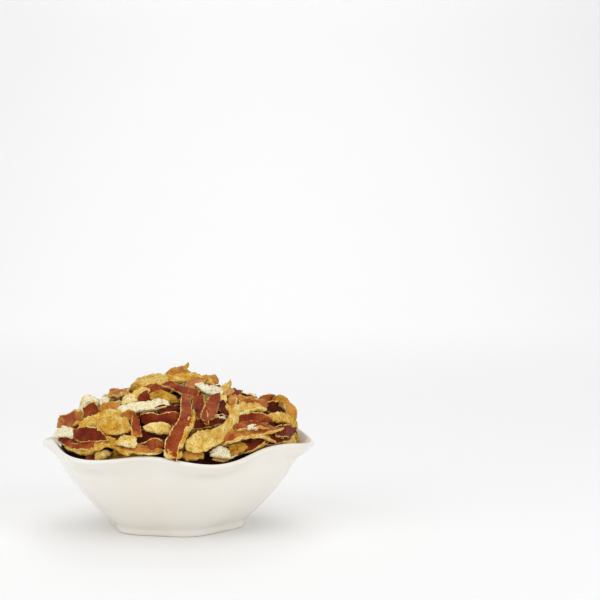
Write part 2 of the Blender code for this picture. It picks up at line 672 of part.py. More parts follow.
def main():
    """Clear the scene, then build and finish the bowl and the heap."""
    for old in list(bpy.data.objects):
        bpy.data.objects.remove(old)
    bowl = build_bowl()
    bpy.context.scene.collection.objects.link(bowl)
    parts = [(bowl, material("white glaze", (0.86, 0.86, 0.84), 0.25))]
    parts.append((build_heap(), material("dried peel", (0.45, 0.17, 0.06), 0.7)))
    for piece, finish in parts:
        piece.data.materials.clear()
        piece.data.materials.append(finish)
    for piece, _ in parts:
        low = np.min([v.co for v in piece.data.vertices], axis=0) / MM
        high = np.max([v.co for v in piece.data.vertices], axis=0) / MM
        print(piece.name, np.round(low, 2), np.round(high, 2), len(piece.data.polygons))


main()
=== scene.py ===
"""A small white six-lobed bowl heaped with cut strips of dried orange peel.

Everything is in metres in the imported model's frame: +Z up, the bowl's foot on Z = 0 at the
origin, and -Y the front, towards the camera.
"""

import logging
import math
from dataclasses import dataclass
from dataclasses import field
from enum import Enum

import bpy
import numpy as np
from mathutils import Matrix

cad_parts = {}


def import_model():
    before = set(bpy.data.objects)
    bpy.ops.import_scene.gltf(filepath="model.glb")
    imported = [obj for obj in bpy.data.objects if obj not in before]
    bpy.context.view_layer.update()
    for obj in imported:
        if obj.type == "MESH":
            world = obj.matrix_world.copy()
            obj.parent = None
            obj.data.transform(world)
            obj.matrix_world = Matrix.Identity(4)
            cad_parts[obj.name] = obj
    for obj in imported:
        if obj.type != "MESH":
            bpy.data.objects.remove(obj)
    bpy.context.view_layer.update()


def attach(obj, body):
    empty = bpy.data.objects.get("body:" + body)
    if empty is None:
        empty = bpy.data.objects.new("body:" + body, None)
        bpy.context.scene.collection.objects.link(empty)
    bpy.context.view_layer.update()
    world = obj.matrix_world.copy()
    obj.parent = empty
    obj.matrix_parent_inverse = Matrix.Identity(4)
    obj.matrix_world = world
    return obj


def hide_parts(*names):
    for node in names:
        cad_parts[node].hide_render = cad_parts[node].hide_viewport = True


LOG = logging.getLogger("peel")
MM = 0.001
EYE = (52.1 * MM, -590.0 * MM, 119.0 * MM)
Frames = tuple[np.ndarray, np.ndarray, np.ndarray]


def linear(code: str) -> tuple[float, float, float, float]:
    """Turn an sRGB hex colour to linear light.

    Args:
        code: six hex digits.

    Returns:
        Red, green, blue and an alpha of one.
    """
    shares = [int(code[i : i + 2], 16) / 255 for i in (0, 2, 4)]
    curve = [s / 12.92 if s <= 0.04045 else ((s + 0.055) / 1.055) ** 2.4 for s in shares]
    return curve[0], curve[1], curve[2], 1.0


def unit(vectors: np.ndarray) -> np.ndarray:
    """Scale vectors to length one.

    Args:
        vectors: any number of vectors, on the last axis.

    Returns:
        The same directions.
    """
    return vectors / np.linalg.norm(vectors, axis=-1, keepdims=True)


def add_node(
    material: bpy.types.Material,
    kind: str,
    settings: dict[str | int, object] | None = None,
    links: dict[str | int, bpy.types.NodeSocket] | None = None,
) -> bpy.types.Node:
    """Add one node with its settings and links.

    Args:
        material: the material it goes in.
        kind: the node's type name, without ShaderNode.
        settings: property or input names and their values.
        links: input names and the sockets that feed them.

    Returns:
        The node.
    """
    node = material.node_tree.nodes.new("ShaderNode" + kind)
    for name, value in (settings or {}).items():
        if isinstance(name, str) and hasattr(node, name):
            setattr(node, name, value)
        else:
            node.inputs[name].default_value = value
    for name, socket in (links or {}).items():
        material.node_tree.links.new(socket, node.inputs[name])
    return node


def shaded(material: bpy.types.Material) -> bpy.types.Node:
    """Return the material's Principled shader."""
    return material.node_tree.nodes["Principled BSDF"]


def ramp(
    material: bpy.types.Material,
    fac: bpy.types.NodeSocket,
    stops: tuple[tuple[float, str], ...],
) -> bpy.types.NodeSocket:
    """Colour a value by a ramp of hex colours.

    Args:
        material: the material it goes in.
        fac: the value.
        stops: the places along the ramp and their colours.

    Returns:
        The colour.
    """
    node = add_node(material, "ValToRGB", links={"Fac": fac})
    band = node.color_ramp
    for place, code in stops[1:-1]:
        band.elements.new(place).color = linear(code)
    band.elements[0].position = stops[0][0]
    band.elements[0].color = linear(stops[0][1])
    band.elements[-1].position = stops[-1][0]
    band.elements[-1].color = linear(stops[-1][1])
    return node.outputs["Color"]


def noise(
    material: bpy.types.Material,
    place: bpy.types.NodeSocket,
    size_mm: float,
    settings: dict[str | int, object],
) -> bpy.types.NodeSocket:
    """Add a noise of a real size.

    Args:
        material: the material it goes in.
        place: where on the piece it is read.
        size_mm: how wide its blotches are.
        settings: its other inputs.

    Returns:
        The noise.
    """
    inputs = {"Scale": 1 / (size_mm * MM), **settings}
    return add_node(material, "TexNoise", inputs, {"Vector": place}).outputs["Fac"]


def toned(
    material: bpy.types.Material,
    label: str,
    blotch: bpy.types.NodeSocket,
    spread: float,
) -> bpy.types.NodeSocket:
    """Let a noise vary a piece's own tone.

    Args:
        material: the material it goes in.
        label: the attribute that holds the tone.
        blotch: the noise.
        spread: how far the noise varies it in all.

    Returns:
        The varied tone.
    """
    tone = add_node(material, "Attribute", {"attribute_name": label}).outputs["Fac"]
    middle = {"operation": "MULTIPLY_ADD", 1: spread, 2: -spread / 2}
    offset = add_node(material, "Math", middle, {0: blotch}).outputs["Value"]
    return add_node(material, "Math", {"operation": "ADD"}, {0: tone, 1: offset}).outputs["Value"]


def spotted(
    material: bpy.types.Material,
    spot: str,
    colour: bpy.types.NodeSocket,
    clear: bpy.types.NodeSocket,
    strength: float,
) -> bpy.types.NodeSocket:
    """Lay dark spots over a colour.

    Args:
        material: the material it goes in.
        spot: the spots' colour.
        colour: the colour beneath.
        clear: where there is no spot.
        strength: how strongly the spots show.

    Returns:
        The spotted colour.
    """
    dark = {"Color1": linear(spot)}
    full = add_node(material, "MixRGB", dark, {"Fac": clear, "Color2": colour}).outputs["Color"]
    both = {"Color1": colour, "Color2": full}
    return add_node(material, "MixRGB", {"Fac": strength}, both).outputs["Color"]


def finish(
    material: bpy.types.Material,
    colour: bpy.types.NodeSocket,
    height: bpy.types.NodeSocket,
    relief: tuple[float, float],
    values: dict[str, float],
) -> bpy.types.Material:
    """Give a material its colour, its relief and its shader's own values.

    Args:
        material: the material.
        colour: its colour.
        height: its relief's height.
        relief: the relief's strength and its depth in millimetres.
        values: the shader's inputs and their values.

    Returns:
        The material.
    """
    strength, depth_mm = relief
    inputs = {"Strength": strength, "Distance": depth_mm * MM}
    bump = add_node(material, "Bump", inputs, {"Height": height})
    shader = shaded(material)
    material.node_tree.links.new(colour, shader.inputs["Base Color"])
    material.node_tree.links.new(bump.outputs["Normal"], shader.inputs["Normal"])
    for name, value in values.items():
        shader.inputs[name].default_value = value
    return material


def plain_material(name: str) -> bpy.types.Material:
    """Start a material with its default Principled shader."""
    material = bpy.data.materials.new(name)
    material.use_nodes = True
    return material


@dataclass(frozen=True)
class WhiteGlaze:
    """White glazed stoneware, dipped and fired: a smooth clear coat that gives soft, wide glints."""

    colour: str = "F1EDE4"
    shade: str = "EFE9DE"
    roughness: float = 0.18
    ior: float = 1.5
    ripple_mm: float = 24.0
    ripple_height_mm: float = 0.04
    ripple_strength: float = 0.25

    def make(self) -> bpy.types.Material:
        """Build the glaze.

        Returns:
            The material.
        """
        material = plain_material("fired white glaze")
        place = add_node(material, "TexCoord").outputs["Object"]
        ripple = noise(material, place, self.ripple_mm, {"Detail": 1.0})
        colour = ramp(material, ripple, ((0.35, self.shade), (0.6, self.colour)))
        values = {"Roughness": self.roughness, "IOR": self.ior}
        return finish(material, colour, ripple, (self.ripple_strength, self.ripple_height_mm), values)


@dataclass(frozen=True)
class DriedRind:
    """The coloured side of sun-dried orange peel: red-brown, faintly waxy, pitted by its oil glands."""

    deep: str = "481104"
    red: str = "7C270C"
    blush: str = "A54E26"
    orange: str = "D69440"
    pit: str = "3A0E04"
    pit_mm: float = 0.95
    blotch_mm: float = 5.0
    pit_depth_mm: float = 0.3
    pit_strength: float = 0.45
    fleck_mm: float = 0.5
    bump_strength: float = 0.6
    spread: float = 0.9
    roughness: float = 0.5
    ior: float = 1.45
    shine: float = 0.12

    def make(self) -> bpy.types.Material:
        """Build the rind.

        Returns:
            The material.
        """
        material = plain_material("sun dried orange rind")
        place = add_node(material, "TexCoord").outputs["Object"]
        blotch = noise(material, place, self.blotch_mm, {"Detail": 4.0})
        mixed = toned(material, "tone", blotch, self.spread)
        stops = ((0.0, self.deep), (0.35, self.red), (0.62, self.blush), (0.95, self.orange))
        colour = ramp(material, mixed, stops)
        cells = {"Scale": 1 / (self.pit_mm * MM)}
        glands = add_node(material, "TexVoronoi", cells, {"Vector": place}).outputs["Distance"]
        edge = {"From Min": 0.12, "From Max": 0.42}
        open_pit = add_node(material, "MapRange", edge, {"Value": glands}).outputs["Result"]
        pitted = spotted(material, self.pit, colour, open_pit, self.pit_strength)
        fleck = noise(material, place, self.fleck_mm, {"Detail": 3.0})
        height = add_node(material, "Math", {"operation": "ADD"}, {0: open_pit, 1: fleck}).outputs["Value"]
        values = {"Roughness": self.roughness, "IOR": self.ior, "Specular IOR Level": self.shine}
        return finish(material, pitted, height, (self.bump_strength, self.pit_depth_mm), values)


@dataclass(frozen=True)
class DriedPith:
    """The inner side of the peel, left rough by peeling: straw yellow to cream, matt, with brown specks."""

    ochre: str = "9A5E14"
    straw: str = "DCA840"
    cream: str = "F4DC8A"
    chalk: str = "FAF3D4"
    speck: str = "5A2E10"
    fibre_mm: float = 0.8
    blotch_mm: float = 3.2
    fibre_depth_mm: float = 0.4
    speck_strength: float = 0.6
    bump_strength: float = 0.8
    spread: float = 1.1
    roughness: float = 0.85
    ior: float = 1.4
    shine: float = 0.1

    def make(self) -> bpy.types.Material:
        """Build the pith.

        Returns:
            The material.
        """
        material = plain_material("dried orange pith")
        place = add_node(material, "TexCoord").outputs["Object"]
        blotch = noise(material, place, self.blotch_mm, {"Detail": 5.0})
        mixed = toned(material, "pale", blotch, self.spread)
        stops = ((0.0, self.ochre), (0.35, self.straw), (0.68, self.cream), (0.95, self.chalk))
        colour = ramp(material, mixed, stops)
        fibre = noise(material, place, self.fibre_mm, {"Detail": 6.0, "Roughness": 0.65})
        edge = {"From Min": 0.32, "From Max": 0.5}
        clear = add_node(material, "MapRange", edge, {"Value": fibre}).outputs["Result"]
        specked = spotted(material, self.speck, colour, clear, self.speck_strength)
        values = {"Roughness": self.roughness, "IOR": self.ior, "Specular IOR Level": self.shine}
        return finish(material, specked, fibre, (self.bump_strength, self.fibre_depth_mm), values)


@dataclass(frozen=True)
class PaintedShadePeel:
    """Peel deep in the heap, dark brown as painted shade for the shadow in the gaps between the strips;
    rough and crumbly.
    """

    # painted shade: these near-black browns stand in for the deep shadow between the strips
    dark: str = "200A03"
    light: str = "4A1D0A"
    crumb_mm: float = 1.6
    crumb_depth_mm: float = 0.8
    bump_strength: float = 1.0
    roughness: float = 0.9
    shine: float = 0.1

    def make(self) -> bpy.types.Material:
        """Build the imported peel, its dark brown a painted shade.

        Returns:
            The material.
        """
        material = plain_material("peel core in painted shade")
        place = add_node(material, "TexCoord").outputs["Object"]
        crumb = noise(material, place, self.crumb_mm, {"Detail": 4.0})
        colour = ramp(material, crumb, ((0.35, self.dark), (0.7, self.light)))
        values = {"Roughness": self.roughness, "Specular IOR Level": self.shine}
        return finish(material, colour, crumb, (self.bump_strength, self.crumb_depth_mm), values)


@dataclass(frozen=True)
class PaperSweep:
    """A sheet of white studio paper, matt, swept up behind: it takes a soft contact shadow."""

    colour: str = "F7F7F7"
    roughness: float = 0.95
    shine: float = 0.1

    def make(self) -> bpy.types.Material:
        """Build the paper.

        Returns:
            The material.
        """
        material = plain_material("white studio paper")
        shader = shaded(material)
        shader.inputs["Base Color"].default_value = linear(self.colour)
        shader.inputs["Roughness"].default_value = self.roughness
        shader.inputs["Specular IOR Level"].default_value = self.shine
        return material


def ring(radius: np.ndarray, height: np.ndarray, angle: np.ndarray) -> np.ndarray:
    """Lay out one loop around the bowl's middle.

    Args:
        radius: how far out each point lies.
        height: how high each point lies.
        angle: where round the loop each point lies.

    Returns:
        The points, one a row.
    """
    height = np.broadcast_to(height, angle.shape)
    return np.stack([radius * np.cos(angle), radius * np.sin(angle), height], axis=1)


def grid_faces(rows: int, count: int, start: int = 0) -> list[tuple[int, int, int, int]]:
    """List the faces between closed loops of equally many points.

    Args:
        rows: how many loops.
        count: how many points a loop.
        start: the first point's number.

    Returns:
        Four point numbers for each face.
    """
    faces = []
    for row in range(rows - 1):
        low = start + row * count
        for i in range(count):
            j = (i + 1) % count
            faces.append((low + i, low + j, low + count + j, low + count + i))
    return faces


def mesh_piece(name: str, points: np.ndarray, faces: list[tuple[int, ...]]) -> bpy.types.Object:
    """Make a smooth-shaded piece that rides on the object and is in the scene.

    Args:
        name: the piece's name.
        points: its points, one a row.
        faces: its faces by point number.

    Returns:
        The piece.
    """
    mesh = bpy.data.meshes.new(name)
    mesh.from_pydata(points.tolist(), [], faces)
    mesh.polygons.foreach_set("use_smooth", [True] * len(mesh.polygons))
    mesh.update()
    piece = bpy.data.objects.new(name, mesh)
    bpy.context.scene.collection.objects.link(piece)
    return piece


@dataclass(frozen=True)
class BowlForm:
    """The shape of the bowl: six petals that flare out and droop, with pinched-up valleys between."""

    lobes: int = 6
    turn: float = math.radians(-12)
    oval: float = 2.3 * MM
    petal_lean: float = 1.0 * MM
    tilt: float = 0.8 * MM
    saddle: float = 1.8 * MM
    height: float = 36 * MM
    foot_rows: int = 2
    rim_thickness: float = 1.8 * MM
    base_thickness: float = 3.0 * MM
    foot_width: float = 3.2 * MM
    underside: float = 1.4 * MM
    floor: float = 4.4 * MM
    wall: np.ndarray = field(
        default_factory=lambda: MM
        * np.array(
            (
                (29.2, 0.0, 27.0, 0.0),
                (29.0, 2.2, 26.9, 2.2),
                (30.5, 3.9, 28.5, 3.9),
                (34.6, 7.4, 32.6, 7.4),
                (39.7, 12.9, 37.6, 12.9),
                (44.0, 18.2, 41.6, 18.2),
                (47.6, 23.6, 44.9, 23.9),
                (50.2, 28.0, 47.3, 29.2),
                (53.4, 30.2, 49.3, 32.7),
                (56.7, 33.2, 51.8, 35.9),
            )
        )
    )

    @property
    def top(self) -> float:
        """Return the rim's row number."""
        return len(self.wall) - 1

    def outer(self, row: float, angle: np.ndarray) -> tuple[np.ndarray, np.ndarray]:
        """Find one level of the outer wall, between rows by a smooth curve.

        Args:
            row: the row, whole or part.
            angle: the angles round the bowl.

        Returns:
            Radius and height at each angle.
        """
        petal_r, petal_z, valley_r, valley_z = self.between(row)
        share = 0.5 + 0.5 * np.cos(self.lobes * (angle - self.turn))
        rise = (petal_z / self.height) ** 2
        radius = valley_r + (petal_r - valley_r) * share + self.oval * rise * np.cos(2 * angle)
        waves = self.tilt * np.cos(angle) + self.saddle * np.cos(2 * angle - math.radians(25))
        waves = waves - self.petal_lean * np.sin(self.lobes * (angle - self.turn))
        return radius, valley_z + (petal_z - valley_z) * share + rise * waves

    def between(self, row: float) -> np.ndarray:
        """Read the wall's table at a part row.

        Args:
            row: the row, whole or part.

        Returns:
            Petal radius and height, then valley radius and height.
        """
        low = int(row)
        if row > self.foot_rows:
            low = min(low, self.top - 1)
        if low == row:
            return self.wall[low]
        step = row - low
        near = [self.wall[min(max(low + k, self.foot_rows), self.top)] for k in (-1, 0, 1, 2)]
        a = 2 * near[1]
        b = near[2] - near[0]
        c = 2 * near[0] - 5 * near[1] + 4 * near[2] - near[3]
        d = 3 * near[1] - 3 * near[2] + near[3] - near[0]
        return 0.5 * (a + b * step + c * step**2 + d * step**3)

    def inner(self, row: float, angle: np.ndarray) -> tuple[np.ndarray, np.ndarray]:
        """Find the same level on the inside, one wall thickness in.

        Args:
            row: the row, whole or part.
            angle: the angles round the bowl.

        Returns:
            Radius and height at each angle.
        """
        low_r, low_z = self.outer(max(row - 1, self.foot_rows), angle)
        high_r, high_z = self.outer(min(row + 1, self.top), angle)
        run = np.hypot(high_r - low_r, high_z - low_z)
        thickness = self.base_thickness + (self.rim_thickness - self.base_thickness) * row / self.top
        radius, height = self.outer(row, angle)
        return radius - thickness * (high_z - low_z) / run, height + thickness * (high_r - low_r) / run

    def inside_radius(self, angle: np.ndarray, height: float) -> np.ndarray:
        """Find how far out the inside reaches at a height.

        Args:
            angle: the angles round the bowl.
            height: the height.

        Returns:
            The radius at each angle.
        """
        rows = [self.inner(row, angle) for row in range(self.foot_rows, self.top + 1)]
        radius = rows[0][0]
        for (low_r, low_z), (high_r, high_z) in zip(rows, rows[1:]):
            share = np.clip((height - low_z) / (high_z - low_z), 0, 1)
            radius = radius + (high_r - low_r) * share
        return radius


@dataclass
class Bowl:
    """The bowl itself, finely turned, with a rounded lip and a stepped foot ring."""

    form: BowlForm
    around: int = 240
    row_steps: int = 4
    lip_steps: int = 7

    def rings(self) -> list[np.ndarray]:
        """List the bowl's loops from under the foot, up the outside, over the lip and down.

        Returns:
            The loops.
        """
        form = self.form
        angle = np.arange(self.around) * 2 * math.pi / self.around
        foot_r, _ = form.outer(0, angle)
        soft = 0.35 * MM
        inset = foot_r - form.foot_width
        loops = [
            ring(0.03 * foot_r, form.underside, angle),
            ring(0.5 * foot_r, form.underside, angle),
            ring(inset - form.underside - soft, form.underside, angle),
            ring(inset - form.underside, form.underside - soft, angle),
            ring(inset - soft, soft, angle),
            ring(inset + soft, 0.0, angle),
            ring(foot_r - 1.1 * MM, 0.0, angle),
            ring(foot_r - 0.6 * MM, 0.12 * MM, angle),
            ring(foot_r - 0.2 * MM, 0.45 * MM, angle),
            ring(foot_r, 1.0 * MM, angle),
        ]
        step_r, step_z = form.outer(1, angle)
        low_r, low_z = form.outer(form.foot_rows, angle)
        rows = np.linspace(form.foot_rows, form.top, (form.top - form.foot_rows) * self.row_steps + 1)
        loops.append(ring(step_r + 0.15 * MM, step_z - 0.2 * MM, angle))
        loops.append(ring(step_r * 0.62 + low_r * 0.38, step_z * 0.45 + low_z * 0.55, angle))
        loops += [ring(*form.outer(row, angle), angle) for row in rows]
        loops += self.lip(angle)
        loops += [ring(*form.inner(row, angle), angle) for row in rows[::-1]]
        floor_r, _ = form.inner(form.foot_rows, angle)
        loops += [
            ring(floor_r - form.base_thickness, form.floor + 0.5 * MM, angle),
            ring(0.35 * floor_r, form.floor, angle),
            ring(0.03 * floor_r, form.floor, angle),
        ]
        return loops

    def lip(self, angle: np.ndarray) -> list[np.ndarray]:
        """Round the lip over from the outside to the inside.

        Args:
            angle: the angles round the bowl.

        Returns:
            The loops of the lip.
        """
        outer_r, outer_z = self.form.outer(self.form.top, angle)
        inner_r, inner_z = self.form.inner(self.form.top, angle)
        middle_r, middle_z = (outer_r + inner_r) / 2, (outer_z + inner_z) / 2
        reach_r, reach_z = (outer_r - inner_r) / 2, (outer_z - inner_z) / 2
        loops = []
        for turn in np.linspace(0, math.pi, self.lip_steps + 2)[1:-1]:
            radius = middle_r + reach_r * math.cos(turn) - reach_z * math.sin(turn) * 0.8
            height = middle_z + reach_z * math.cos(turn) + reach_r * math.sin(turn) * 0.8
            loops.append(ring(radius, height, angle))
        return loops

    def build(self) -> bpy.types.Object:
        """Build the bowl and dress it.

        Returns:
            The bowl.
        """
        loops = self.rings()
        points = np.concatenate(loops)
        faces: list[tuple[int, ...]] = list(grid_faces(len(loops), self.around))
        faces.append(tuple(range(self.around))[::-1])
        faces.append(tuple(range(len(points) - self.around, len(points))))
        piece = mesh_piece("glazed_bowl", points, faces)
        piece.data.materials.append(WhiteGlaze().make())
        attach(piece, "root")
        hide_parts("bowl")
        return piece


class Face(Enum):
    """Which side of a strip is turned to the viewer."""

    RIND = 1
    PITH = -1


@dataclass(frozen=True)
class LaidStrip:
    """A strip that shows in front, by where it runs in the front view.

    `path` is in millimetres on the bowl's middle plane: across, then up.
    `lean` is how far it leans back at either end, in degrees: 0 faces the viewer, 90 lies flat.
    `lift` is how far it stands off the heap, and `toward` gives its own depths instead.
    """

    what: str
    path: tuple[tuple[float, float], ...]
    lean: tuple[float, float]
    lift: float
    widths: tuple[float, float]
    face: Face = Face.RIND
    tone: float = 0.4
    pale: float = 0.5
    thickness: float = 1.5
    cup: float = 0.06
    taper: float = 0.2
    toward: tuple[float, ...] = ()


def rind(
    what: str,
    path: tuple[tuple[float, float], ...],
    lean: tuple[float, float],
    lift: float,
    widths: tuple[float, float],
    tone: float,
    pale: float = 0.5,
    toward: tuple[float, ...] = (),
) -> LaidStrip:
    """List a strip that shows its rind.

    Args:
        what: the strip's name.
        path: where it runs in the front view, in millimetres.
        lean: how far it leans back at either end, in degrees.
        lift: how far it stands off the heap, in millimetres.
        widths: its width at either end, in millimetres.
        tone: the rind's tone, 0 dark red to 1 orange.
        pale: the pith's tone behind it.
        toward: its own depths, where the heap doesn't give them.

    Returns:
        The strip.
    """
    return LaidStrip(what, path, lean, lift, widths, Face.RIND, tone, pale, toward=toward)


def pith(
    what: str,
    path: tuple[tuple[float, float], ...],
    lean: tuple[float, float],
    lift: float,
    widths: tuple[float, float],
    pale: float,
    toward: tuple[float, ...] = (),
) -> LaidStrip:
    """List a strip that shows its pith, over a dull red rind.

    Args:
        what: the strip's name.
        path: where it runs in the front view, in millimetres.
        lean: how far it leans back at either end, in degrees.
        lift: how far it stands off the heap, in millimetres.
        widths: its width at either end, in millimetres.
        pale: the pith's tone, 0 ochre to 1 white.
        toward: its own depths, where the heap doesn't give them.

    Returns:
        The strip.
    """
    return LaidStrip(what, path, lean, lift, widths, Face.PITH, 0.3, pale, toward=toward)


@dataclass
class Strip:
    """One strip in its place."""

    frames: Frames
    widths: tuple[float, float]
    thickness: float
    cup: float
    taper: float
    face: Face
    tone: float
    pale: float

    @property
    def width(self) -> float:
        """Return the width at the middle."""
        return (self.widths[0] + self.widths[1]) / 2

    def section(self, across: np.ndarray, through: np.ndarray) -> np.ndarray:
        """Find points on the strip.

        Args:
            across: places across it, -1 to 1, the same at every station or one row a station.
            through: places through it, -1 to 1.

        Returns:
            Stations by points by coordinates.
        """
        centre, side, face = self.frames
        share = np.linspace(-1, 1, len(centre))[:, None]
        across = np.broadcast_to(across, (len(centre), len(through)))
        ends = 1 - self.taper * np.abs(share) ** 4
        half = (self.widths[0] * (1 - share) + self.widths[1] * (1 + share)) / 4 * ends
        sag = self.cup * self.width * (across**2 - 0.4)
        body = side[:, None, :] * (across * half)[..., None]
        skin = face[:, None, :] * (through * self.thickness / 2 + sag)[..., None]
        return centre[:, None, :] + body + skin

    def sampled(self, through: float) -> np.ndarray:
        """Return a close net of points on one side, 1 the face and -1 the back."""
        across = np.linspace(-1, 1, max(3, int(self.width / (0.48 * MM))))
        return self.section(across, np.full(len(across), through)).reshape(-1, 3)

    def moved(self, by: np.ndarray) -> None:
        """Move the strip by a vector."""
        self.frames = (self.frames[0] + by, self.frames[1], self.frames[2])


@dataclass
class Relief:
    """A map of heights over the bowl, and what is asked of it."""

    cell: float = 0.6 * MM
    half: float = 62 * MM

    @property
    def count(self) -> int:
        """Return how many cells there are a side."""
        return int(2 * self.half / self.cell)

    def cells(self, points: np.ndarray) -> tuple[np.ndarray, np.ndarray]:
        """Find the cell under each point.

        Args:
            points: points, with X and Y first.

        Returns:
            The cells' numbers along X and along Y.
        """
        found = ((points[..., :2] + self.half) / self.cell).astype(int).clip(0, self.count - 1)
        return found[..., 0], found[..., 1]

    def places(self) -> tuple[np.ndarray, np.ndarray]:
        """Return X and Y at the middle of every cell."""
        axis = (np.arange(self.count) + 0.5) * self.cell - self.half
        return np.meshgrid(axis, axis, indexing="ij")

    @staticmethod
    def widened(heights: np.ndarray) -> np.ndarray:
        """Raise every cell to the highest of its neighbours."""
        for axis in (0, 1):
            beside = np.maximum(np.roll(heights, 1, axis), np.roll(heights, -1, axis))
            heights = np.maximum(heights, beside)
        return heights

    @staticmethod
    def smoothed(heights: np.ndarray, times: int) -> np.ndarray:
        """Average every cell with its neighbours, some number of times."""
        for _ in range(times):
            for axis in (0, 1):
                heights = (np.roll(heights, 1, axis) + heights * 2 + np.roll(heights, -1, axis)) / 4
        return heights


